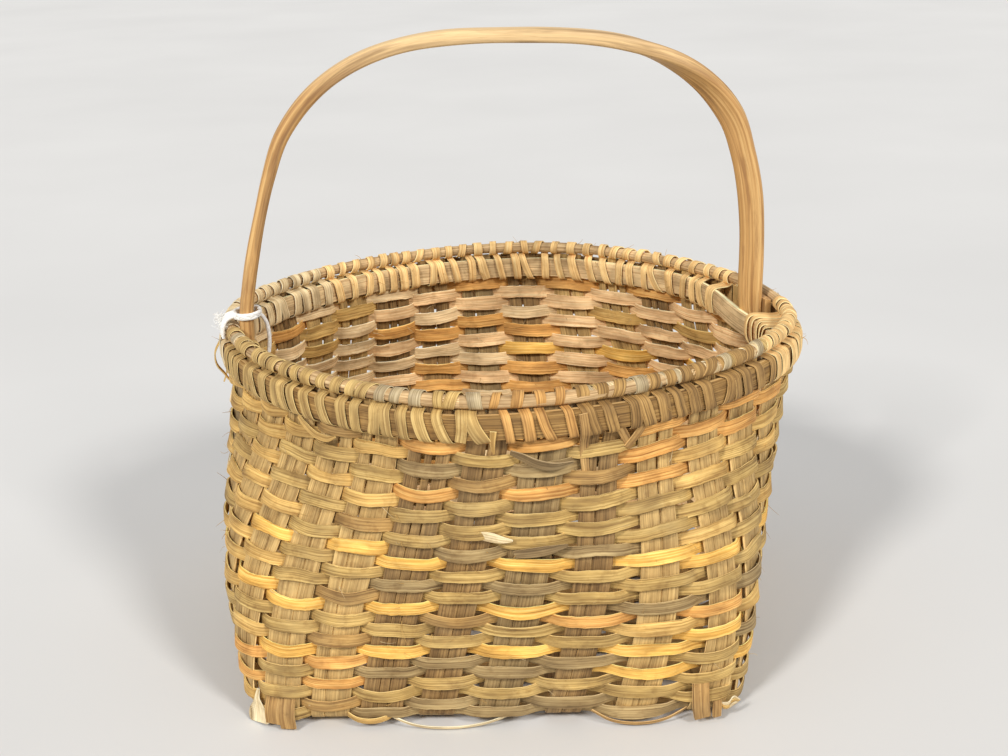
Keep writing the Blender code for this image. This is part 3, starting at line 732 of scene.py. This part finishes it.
def bend_rod(rng):
    """The round rod above the hoops."""
    shares = np.arange(640) / 640.0
    middles, along, out = on_rim(shares, 0.0004 + wander(shares, 2, 9, 0.0004, rng),
                                 ROD_LEVEL + wander(shares, 2, 9, 0.0004, rng))
    radii = ROD_DIAMETER / 2.0 + wander(shares, 3, 30, 0.00015, rng)
    form = round_form(middles, radii, 16, closed=True, along=along)
    make_piece("peeled_rod", [form], [ROD_FINISH], ["rim_rod"], sharp=60.0)


rim_rng = np.random.default_rng(5)
bend_hoop("bent_outer_hoop", "outer_hoop", OUTER_HOOP, OUTER_THICK, OUTER_FINISH, rim_rng)
bend_hoop("bent_inner_hoop", "inner_hoop", INNER_HOOP, INNER_THICK, INNER_FINISH, rim_rng,
          leaves=True)
bend_rod(rim_rng)


# The lashing.
# A strip of splint winds round hoops and rod in a figure of eight, through the wall below
# the hoops. It is old and grey at the front, and has been mended with a fresher strip.
LASH_PASS = 0.15065
HOOP_CREST = 0.16185
LASH_THICK = 0.0006
LASH_OUTSIDE = 0.0063
LASH_INSIDE = -0.0056

OLD_LASH, DARK_LASH, TAN_LASH, MEND_LASH, PALE_LASH, SILVER_LASH = range(6)
LASH_FINISHES = splint_finishes(
    ("lash_old", (232, 202, 136), (194, 160, 98), (134, 102, 58), 0.2),
    ("lash_dark", (202, 162, 100), (156, 120, 68), (88, 64, 34), 0.15),
    ("lash_tan", (255, 230, 172), (250, 208, 142), (204, 152, 90), 0.1),
    ("lash_mend", (234, 186, 114), (194, 144, 80), (122, 82, 42), 0.1),
    ("lash_pale", (255, 238, 200), (236, 210, 164), (182, 154, 112), 0.2),
    ("lash_silver", (232, 216, 180), (180, 160, 124), (112, 94, 68), 0.3, 0.25)
)
# Stretches of the rim: share where one ends, distance between turns, strip width, finish
LASH_ZONES = [(0.006, 0.0094, 0.0054, OLD_LASH), (0.054, 0.0088, 0.0044, MEND_LASH),
              (0.184, 0.0086, 0.0054, DARK_LASH), (0.345, 0.0062, 0.0046, TAN_LASH),
              (0.655, 0.0088, 0.0044, TAN_LASH), (0.792, 0.0082, 0.005, PALE_LASH),
              (1.0, 0.0088, 0.0056, OLD_LASH)]
# Where the strip leaves the hoops bare at a foot of the handle
BARE_SHARES = ((0.286, 0.334), (0.792, 0.804))
# Where a second strip winds round the rod alone
BOUND_SHARES = (0.058, 0.19)
BINDING_PITCH = 0.0064
BINDING_WIDTH = 0.0046
LASH_NODES = (("lashing_front_right", 0.0, 0.2916), ("lashing_back_right", 0.2916, 0.53),
              ("lashing_back_left", 0.53, 0.7979), ("lashing_front_left", 0.7979, 1.0))
RIM_LENGTH = distances(outline(WALL_TOP)[0])[-1]


def lash_turns(rng):
    """Where each turn starts on the rim, with its width and finish."""
    turns, share = [], 0.0
    while share < 1.0:
        end, pitch, width, kind = next(zone for zone in LASH_ZONES if share < zone[0])
        turns.append((share, width * rng.uniform(0.82, 1.14), kind))
        spread = 0.16 if kind == DARK_LASH else 0.24
        share += pitch / RIM_LENGTH * rng.uniform(1.0 - spread, 1.0 + spread)
    return turns


def lash_path(rod):
    """One turn as offset outwards, height and share of the way to the next."""
    near = rod + LASH_THICK * 0.7
    round_rod = ((0.85, -0.55, 0.36), (0.98, 0.3, 0.42), (0.4, 0.95, 0.47),
                 (-0.4, 0.95, 0.51), (-0.98, 0.3, 0.55), (-0.85, -0.55, 0.6))
    return [(LASH_INSIDE + 0.0004, LASH_PASS, 0.0), (LASH_INSIDE - 0.0004, HOOP_MIDDLE, 0.1),
            (LASH_INSIDE + 0.0006, HOOP_CREST + 0.0002, 0.2), (-0.001, HOOP_CREST + 0.0018, 0.3),
            *((near * aside, ROD_LEVEL + near * rise, part) for aside, rise, part in round_rod),
            (0.0012, HOOP_CREST + 0.0016, 0.66), (LASH_OUTSIDE - 0.0008, HOOP_CREST + 0.0002, 0.74),
            (LASH_OUTSIDE + 0.0004, HOOP_MIDDLE, 0.86), (LASH_OUTSIDE - 0.0004, LASH_PASS, 0.98)]


def lash_form(turns, rng):
    """A strip through several turns, as one form."""
    rows, widths, kinds = [], [], []
    for (share, width, kind), (after, _, _) in zip(turns, turns[1:]):
        spare = rng.uniform(0.0, 0.0004)
        on_rod = SILVER_LASH if kind in (OLD_LASH, DARK_LASH) and rng.random() < 0.3 else kind
        slant = rng.normal(0.0, 0.17)
        for aside, level, part in lash_path(ROD_DIAMETER / 2.0 + spare):
            where = share + (after - share) * (part + slant * math.sin(FULL_TURN * part))
            if part <= 0.2:
                aside -= float(stand_off(np.array([where]))[0]) + 1.5 * spare
            rows.append((where, aside, level + rng.normal(0.0, 0.00015)))
            widths.append(width * rng.uniform(0.94, 1.06))
            kinds.append(on_rod if 0.32 < part < 0.64 else kind)
    rows = np.array(rows)
    points, along, out = on_rim(rows[:, 0], rows[:, 1], rows[:, 2])
    knots = np.concatenate([points, along, np.array(widths)[:, None]], axis=1)
    line = smooth_line(knots, 0.0011)
    travel = distances(points)
    nearest = np.searchsorted(travel, np.linspace(0.0, travel[-1], len(line)))
    return strip_form(line[:, :3], line[:, 3:6], line[:, 6], LASH_THICK,
                      finishes=np.array(kinds)[nearest.clip(0, len(kinds) - 1)],
                      start=rng.uniform(0.0, 40.0))


def rod_binding(rng):
    """A second strip, which nearly covers the rod."""
    first, last = BOUND_SHARES
    turns = int((last - first) * RIM_LENGTH / BINDING_PITCH)
    turn = np.linspace(0.0, turns, turns * 16 + 1)
    radius = ROD_DIAMETER / 2.0 + LASH_THICK * 0.55
    shares = first + (last - first) * turn / turns + wander(turn / turns, 3, 20, 0.0004, rng)
    middles, along, out = on_rim(shares, radius * np.cos(FULL_TURN * turn),
                                 ROD_LEVEL - radius * np.sin(FULL_TURN * turn))
    kinds = rng.choice([SILVER_LASH, DARK_LASH, PALE_LASH, PALE_LASH, OLD_LASH], turns + 1)
    widths = BINDING_WIDTH + wander(turn / turns, 4, 30, 0.0004, rng)
    return strip_form(middles, along, widths, LASH_THICK * 0.8,
                      finishes=kinds[np.round(turn).astype(int)], start=rng.uniform(0.0, 40.0))


def lash_rim():
    """The four lengths of lashing, from the front's middle anticlockwise."""
    rng = np.random.default_rng(41)
    turns = lash_turns(rng)
    turns.append((1.0 + turns[0][0], turns[0][1], turns[0][2]))
    for node, start, end in LASH_NODES:
        own = [turn for turn in turns if start <= turn[0] < end]
        last = turns[turns.index(own[-1]) + 1]
        own = [turn for turn in own + [last]
               if not any(left < turn[0] < right for left, right in BARE_SHARES)]
        forms = [lash_form(own, rng)]
        if node == "lashing_front_right":
            forms.append(rod_binding(rng))
        make_piece("strip_" + node, forms, LASH_FINISHES, [node])


lash_rim()


# The handle.
# One bar of hickory, bent while green and set dry, square in section with its edges
# taken off. It twists on its way to the right foot, and its thinned tails go down in the weave.
HANDLE_TOP = 0.309
HANDLE_SPRING = 0.17575
HANDLE_SET_IN = 0.0118
HANDLE_LEAN = 0.0077
HANDLE_SLOPE = 0.034
HANDLE_WIDTH = 0.0125
HANDLE_THICK = 0.007
LEG_THICK = 0.0066
HANDLE_ROUNDNESS = 2.84
HANDLE_TWIST = math.radians(72.0)
TAIL_OFFSET = 0.0048
TAIL_THICK = 0.0032
# Lower legs of the handle: height, distance inside the mouth and share of the full width
RIGHT_LEG = ((0.15, 0.0092, 0.66), (0.1565, 0.0104, 0.82), (0.1628, 0.0114, 0.94),
             (0.176, 0.0118, 1.0), (0.19, 0.0116, 1.0), (0.205, 0.0118, 1.0),
             (0.225, 0.0135, 1.0), (0.243, 0.0172, 1.0))
LEFT_LEG = ((0.1628, 0.0071, 1.0), (0.175, 0.0074, 1.0), (0.19, 0.0098, 1.0),
            (0.2075, 0.0136, 1.0), (0.227, 0.0187, 1.0), (0.243, 0.0235, 1.0))
LEG_TOP = 0.26
# The tails from their lower ends up: height and width
TAIL_ROWS = ((0.12185, 0.007), (0.129, 0.009), (0.1365, 0.0108), (0.144, 0.012),
             (0.1513, 0.0125), (0.16, 0.0125), (0.168, 0.0125))


def handle_finish():
    """Worn bent wood: honey brown with long figure, darker where it is worn, and painted paler
    towards the top of the bar as a painted highlight.
    """
    finish, shader, tree = new_finish("handle_wood", 0.55)
    grain = grain_way(tree)
    figure = noise_at(tree, grain, (7.0, 700.0, 1.0), 5.0, wave=0.5)
    pores = noise_at(tree, grain, (90.0, 4200.0, 1.0), 2.0)
    wear = noise_at(tree, grain, (26.0, 240.0, 1.0), 5.0)
    rubbed = noise_at(tree, grain, (9.0, 150.0, 1.0), 4.0, wave=0.6)
    wood = figured(tree, figure, (152, 108, 60), (198, 152, 92), (228, 190, 128))
    wood = wash(tree, wood, wear, 0.52, 0.64, tint(140, 98, 58), 0.55)
    # Painted highlight: the bar is painted paler towards its top, as light from above would make it.
    height = one_part(tree, place_on_piece(tree), "Z")
    wood = wash(tree, wood, height, 0.28, 0.306, tint(250, 224, 174), 0.5)
    wood = wash(tree, wood, rubbed, 0.52, 0.64, tint(122, 88, 54), 0.65)
    dots = wash(tree, (0.7, 0.64, 0.56), pores, 0.3, 0.5, (1.0, 1.0, 1.0))
    wood = blend_colours(tree, 0.7, wood, dots, "MULTIPLY")
    tree.links.new(wood, shader.inputs["Base Color"])
    tree.links.new(spread_value(tree, wear, 0.35, 0.65, 0.5, 0.72), shader.inputs["Roughness"])
    raise_surface(tree, shader, figure, 0.3, 0.0003)
    return finish


def handle_line():
    """Rows of middle point, thickness, width and twist, from right foot to left."""
    feet = on_rim(np.array(FEET_SHARES), 0.0, 0.0)[0]
    out = unit(feet[0] - feet[1])
    centre = (feet[0] + feet[1]) / 2.0
    half_span = np.linalg.norm(feet[0] - feet[1]) / 2.0 - HANDLE_SET_IN
    crown = HANDLE_TOP - HANDLE_THICK / 2.0 - HANDLE_SPRING
    arch = []
    for angle in np.pi * np.arange(61) / 60.0:
        level_way = math.cos(angle)
        aside = half_span * math.copysign(abs(level_way) ** (2.0 / HANDLE_ROUNDNESS), level_way)
        risen = max(math.sin(angle), 0.0) ** (2.0 / HANDLE_ROUNDNESS)
        point = centre + out * (aside + HANDLE_LEAN * risen)
        point[2] = HANDLE_SPRING + (crown - HANDLE_SLOPE * aside) * risen
        share = min(max((aside / half_span - 0.42) / 0.56, 0.0), 1.0)
        turn = HANDLE_TWIST * share * share * (3.0 - 2.0 * share)
        if point[2] > LEG_TOP:
            arch.append([*point, HANDLE_THICK, HANDLE_WIDTH, turn])
    legs = []
    for foot, way_in, leg, turn in ((feet[0], -out, RIGHT_LEG, HANDLE_TWIST),
                                    (feet[1], out, LEFT_LEG, 0.0)):
        legs.append([[*(foot + way_in * inwards)[:2], level, LEG_THICK, HANDLE_WIDTH * share, turn]
                     for level, inwards, share in leg])
    return np.array(legs[0] + arch + legs[1][::-1]), out


def handle_tails():
    """The thinned tails, down between inner hoop and weave."""
    levels, widths = np.array(TAIL_ROWS).T
    forms = []
    for share in FEET_SHARES:
        middles, along, out = on_rim(np.full(len(levels), share), -TAIL_OFFSET, levels)
        forms.append(splint_form(middles, along, out, widths, TAIL_THICK))
    return forms


def soft_square(wave):
    """A wave pushed out towards a square one."""
    return np.sign(wave) * np.abs(wave) ** 0.42


def bend_handle():
    """The bar and its two tails, as one piece."""
    knots, out = handle_line()
    line = smooth_line(knots, 0.003)
    rng = np.random.default_rng(8)
    shares = np.linspace(0.0, 1.0, len(line))
    along = headings(line[:, :3])
    side = square_to(along, np.broadcast_to(np.cross((0.0, 0.0, 1.0), out), along.shape))
    turn = line[:, 5][:, None]
    across = side * np.cos(turn) + np.cross(along, side) * np.sin(turn)
    face = np.cross(along, across)
    angle = FULL_TURN * (np.arange(24) + 0.5) / 24
    shape = np.stack([soft_square(np.cos(angle)), soft_square(np.sin(angle))], axis=1)
    thick = line[:, 3] + wander(shares, 2, 12, 0.00025, rng)
    width = line[:, 4] + wander(shares, 2, 12, 0.0003, rng)
    aside = shape[None, :, 0] * width[:, None] / 2.0
    above = shape[None, :, 1] * thick[:, None] / 2.0
    rings = (line[:, None, :3] + across[:, None] * aside[..., None]
             + face[:, None] * above[..., None])
    girth = distances(shape * (0.0062, 0.0035))
    girth = np.append(girth, girth[-1] + girth[1])
    form = skin(rings, distances(line[:, :3]), girth[:-1], girth[1:])
    make_piece("bent_handle", [form] + handle_tails(), [handle_finish()], ["handle"],
               sharp=60.0)


bend_handle()


# The string.
# A length of white cotton string is hitched round the left foot of the handle and over
# the rod, and its end hangs down inside. It is fuzzy and a little dirty.
STRING_RADIUS = 0.00105
FUZZ_RADIUS = 0.0001
FUZZ_STRANDS = 46


def string_finish():
    """White cotton with the slanting lay of its strands."""
    finish, shader, tree = new_finish("cotton_string", 0.95)
    slanted = add_node(tree, "ShaderNodeMapping", Scale=(700.0, 900.0, 1.0),
                       Rotation=(0.0, 0.0, 0.6))
    tree.links.new(grain_way(tree), slanted.inputs["Vector"])
    lay = noise_at(tree, slanted.outputs["Vector"], (1.0, 1.0, 1.0), 2.0, roughness=0.5)
    colour = wash(tree, tint(222, 220, 214), lay, 0.35, 0.6, tint(250, 249, 246))
    tree.links.new(colour, shader.inputs["Base Color"])
    raise_surface(tree, shader, lay, 0.5, 0.0003)
    return finish


def tie_string():
    """Three turns round the foot, four passes over the rod, the end and the fuzz."""
    corner, along, out = (part[0] for part in on_rim(np.array(FEET_SHARES[1:]), 0.0, 0.0))

    def at(inwards, beside, level):
        return [*(corner - out * inwards + along * beside)[:2], level]

    ring = [at(0.0076 + 0.0064 * math.cos(a), 0.0082 * math.sin(a),
               0.1744 + 0.0022 * (a - 0.3) / (6.0 * math.pi) + 0.0006 * math.sin(a + 1.0))
            for a in np.linspace(0.3, 6.0 * math.pi, 72)]
    over = [[at(0.0022, beside - 0.001, 0.1756), at(-0.0004, beside, 0.1752 + rise),
             at(-0.0032, beside + 0.0004, 0.1738 + rise), at(-0.0048, beside + 0.0004, 0.1708 + rise),
             at(-0.0052, beside + 0.0002, 0.1676), at(-0.0048, beside, 0.1646)]
            for beside, rise in ((-0.0032, 0.0), (-0.001, 0.0006), (0.0012, 0.0003), (0.0034, 0.0))]
    tail = [at(0.0126, -0.005, 0.1738), at(0.015, -0.0056, 0.1722), at(0.0172, -0.0056, 0.168),
            at(0.0182, -0.005, 0.163), at(0.018, -0.0042, 0.1575), at(0.0172, -0.0036, 0.153)]
    rng = np.random.default_rng(3)
    forms = []
    for path in (ring, *over, tail):
        line = smooth_line(np.array(path) + rng.normal(0.0, 0.0001, (len(path), 3)), 0.0006)
        forms.append(round_form(line, STRING_RADIUS, 10))
    for _ in range(FUZZ_STRANDS):
        root = np.array(at(rng.uniform(-0.0066, -0.0044), rng.uniform(-0.002, 0.002),
                           rng.uniform(0.169, 0.176)))
        stray = np.cumsum(rng.normal(0.0, 0.0009, (5, 3)) + rng.normal(0.0, 0.0003, 3), axis=0)
        line = smooth_line(np.concatenate([[root], root + stray]), 0.0005)
        forms.append(round_form(line, FUZZ_RADIUS, 4))
    make_piece("cotton_tie", forms, [string_finish()], ["tie_string"], sharp=60.0)


tie_string()


# Loose ends and splinters.
# Age has broken some splints: a layer has peeled from a weaver, ends stick out at the
# corners and below the outer hoop, and fine splinters stand off everywhere.
BARK, GOLD, PALE, TAN = range(4)
LOOSE_FINISHES = splint_finishes(
    ("loose_bark", (168, 144, 104), (132, 108, 72), (88, 70, 46)),
    ("loose_gold", (236, 200, 130), (208, 168, 98), (156, 118, 62), 0.15),
    ("loose_pale", (246, 232, 200), (226, 206, 166), (184, 158, 116), 0.1),
    ("loose_tan", (206, 168, 108), (166, 128, 76), (114, 82, 46))
)
# A knot of a strip is stake place, level, distance outwards and width, the last two in mm.
# Strips that lie along the weavers: finish, lean and knots
LEVEL_STRIPS = [
    (BARK, 0.5, [(3.4, 0.1447, 3.2, 3.0), (3.6, 0.1428, 4.8, 5.0), (3.85, 0.1398, 6.6, 5.6),
        (4.15, 0.138, 7.4, 4.6), (4.45, 0.1386, 6.0, 1.2)]),
    (BARK, 0.0, [(3.74, 0.0958, 3.4, 3.6), (3.95, 0.0968, 4.2, 4.6), (4.25, 0.0984, 4.8, 4.4),
        (4.55, 0.1003, 4.6, 1.2)]),
    (PALE, 0.0, [(3.14, 0.105, 3.0, 4.2), (3.35, 0.1042, 3.6, 4.6), (3.54, 0.1035, 4.4, 3.0),
        (3.68, 0.1038, 5.4, 0.8)]),
    (GOLD, 0.0, [(-0.86, 0.149, 4.6, 2.5), (-0.6, 0.146, 5.6, 3.2), (-0.28, 0.143, 6.0, 3.2),
        (0.0, 0.1424, 5.0, 2.5), (0.12, 0.144, 4.2, 1.0)]),
]
# Strips that stand upright, by the rim and at the two front corners: finish, thickness and knots
UPRIGHT_STRIPS = [
    (GOLD, 0.0007, [(-5.02, 0.1585, 6.6, 4.0), (-5.0, 0.153, 9.4, 4.0), (-5.0, 0.1465, 9.2, 3.6),
        (-5.02, 0.1405, 5.6, 3.0), (-5.04, 0.137, 3.6, 2.0)]),
    (GOLD, 0.0007, [(-5.3, 0.144, 4.4, 3.4), (-5.24, 0.1385, 5.0, 3.2),
        (-5.16, 0.1345, 6.4, 1.5)]),
    (TAN, 0.0007, [(4.54, 0.161, 7.0, 4.0), (4.58, 0.152, 6.8, 4.4), (4.63, 0.1455, 3.0, 4.2),
        (4.7, 0.137, 1.5, 3.8), (4.78, 0.127, 1.3, 3.0)]),
    (TAN, 0.0007, [(5.1, 0.156, 5.6, 4.0), (5.3, 0.1475, 3.6, 4.0), (5.5, 0.14, 1.5, 3.4)]),
    (TAN, 0.0007, [(5.7, 0.155, 5.6, 4.2), (5.56, 0.147, 4.0, 4.0), (5.42, 0.14, 2.2, 3.4)]),
    (GOLD, 0.0007, [(3.1, 0.156, 6.8, 3.0), (3.08, 0.15, 6.0, 2.4), (3.13, 0.1452, 5.4, 0.8)]),
    (TAN, 0.0012, [(-0.14, 0.019, 1.2, 7.8), (-0.14, 0.015, 1.8, 7.8), (-0.13, 0.0115, 3.4, 8.0),
        (-0.12, 0.0085, 3.9, 8.0), (-0.11, 0.0034, 3.6, 8.0)]),
    (TAN, 0.0012, [(0.14, 0.019, 1.2, 7.4), (0.14, 0.015, 1.8, 7.4), (0.15, 0.0115, 3.4, 7.6),
        (0.16, 0.0085, 3.9, 7.6), (0.18, 0.0014, 3.4, 7.6)]),
    (PALE, 0.0007, [(-0.5, 0.0185, 1.4, 1.6), (-0.5, 0.014, 2.4, 3.4), (-0.48, 0.0095, 2.2, 9.0),
        (-0.46, 0.0058, 2.2, 15.0), (-0.45, 0.003, 2.6, 15.5), (-0.44, 0.0012, 3.2, 12.0)]),
    (TAN, 0.0022, [(6.79, 0.023, 1.2, 8.0), (6.8, 0.019, 3.2, 8.0), (6.83, 0.014, 4.2, 8.2),
        (6.87, 0.009, 4.6, 8.2), (6.91, 0.004, 4.4, 8.0)]),
    (TAN, 0.002, [(7.1, 0.013, 1.8, 4.2), (7.11, 0.01, 3.6, 4.2), (7.12, 0.007, 4.6, 4.2),
        (7.13, 0.0032, 4.6, 4.0)]),
]
# Bowed splints below the bottom row: middle, reach, lowest level, distance out, width, finish
BOWED_SPLINTS = [(1.8, 0.44, 0.0056, 3.6, 3.6, GOLD), (3.2, 1.1, 0.0018, 4.6, 1.3, PALE),
                 (6.05, 0.66, 0.0024, 4.8, 1.5, TAN)]
BOW_TOP = 0.0078
WALL_SPLINTERS = 260
RIM_SPLINTERS = 110


def loose_strip(kind, knots, lean=0.0, thick=0.0007, upright=False):
    """A strip by the wall as a form."""
    rows = []
    for place, level, away, width in knots:
        point, along, up, out = (part[0] for part in wall([place], min(level, WALL_TOP)))
        point = point + out * away / 1000.0 + np.array([0.0, 0.0, max(level - WALL_TOP, 0.0)])
        across = along if upright else up * math.cos(lean) + out * math.sin(lean)
        rows.append([*point, *across, width / 1000.0])
    line = smooth_line(rows, 0.001)
    return strip_form(line[:, :3], line[:, 3:6], line[:, 6], thick, finishes=kind,
                      start=37.0 * knots[0][0] + 11.0 * knots[0][1])


def splinter(rng, point, aim, size, kind):
    """One fine curved splinter."""
    bend = rng.normal(0.0, 0.35, 3)
    steps = [point + size * share * (aim + bend * share) for share in (0.0, 0.35, 0.7, 1.0)]
    line = smooth_line(steps, 0.0012)
    radii = np.linspace(1.0, 0.3, len(line)) * rng.uniform(0.0001, 0.0002)
    return round_form(line, radii, 4, finish=kind)


def loose_ends():
    """The strips, a ragged end at the right corner and the bowed splints."""
    forms = [loose_strip(kind, knots, lean) for kind, lean, knots in LEVEL_STRIPS]
    forms += [loose_strip(kind, knots, thick=thick, upright=True)
              for kind, thick, knots in UPRIGHT_STRIPS]
    for i in range(6):
        rise = 0.0074 + 0.0007 * i
        knots = [(7.18, 0.0092, 3.0, 1.6), (7.28, rise - 0.0004, 4.6 + 0.6 * (i % 3), 1.5),
                 (7.38, rise + 0.001, 5.0 + 0.5 * ((i + 1) % 3), 1.3),
                 (7.46 + 0.04 * (i % 3), rise - 0.0006 * (i - 2), 5.8, 0.7)]
        forms.append(loose_strip(PALE if i % 2 else GOLD, knots))
    for place, reach, lowest, away, width, kind in BOWED_SPLINTS:
        bow = ((-1.0, 0.0, 0.6), (-0.6, 0.72, 0.7 * away), (0.0, 1.0, away),
               (0.6, 0.72, 0.7 * away), (1.0, 0.0, 0.6))
        knots = [(place + reach * side, BOW_TOP - (BOW_TOP - lowest) * fall, off, width)
                 for side, fall, off in bow]
        forms.append(loose_strip(kind, knots, 0.35))
    make_piece("loose_splints", forms, LOOSE_FINISHES)


def stray_splinters():
    """Fine splinters that stand off the wall and the rim."""
    rng = np.random.default_rng(77)
    forms = []
    for i in range(WALL_SPLINTERS):
        inside = i % 4 == 0
        place = rng.uniform(13.0, 24.0) if inside else rng.uniform(0.0, STAKES)
        level = rng.uniform(0.06, 0.145) if inside else rng.uniform(0.01, 0.148)
        point, along, up, out = (part[0] for part in wall([place], level))
        face = -out if inside else out
        aim = unit(face * rng.uniform(0.1, 0.9) + along * rng.normal(0.0, 1.0)
                   + up * rng.normal(0.0, 0.6))
        forms.append(splinter(rng, point + face * 0.0026, aim, rng.uniform(0.003, 0.0085),
                              int(rng.choice([GOLD, GOLD, PALE]))))
    for i in range(RIM_SPLINTERS):
        share = rng.uniform(0.22, 0.72) if i % 2 else rng.uniform(0.0, 1.0)
        aside = rng.choice([-0.0062, 0.0066, 0.0004], p=[0.4, 0.4, 0.2])
        level = ROD_LEVEL + 0.003 if abs(aside) < 0.001 else rng.uniform(0.1515, 0.1625)
        points, along, out = on_rim(np.array([share]), np.array([aside]), level)
        aim = unit(out[0] * np.sign(aside) + along[0] * rng.normal(0.0, 0.8)
                   + np.array([0.0, 0.0, rng.normal(0.0, 0.8)]))
        forms.append(splinter(rng, points[0], aim, rng.uniform(0.002, 0.006), GOLD))
    make_piece("stray_splinters", forms, LOOSE_FINISHES)


loose_ends()
stray_splinters()
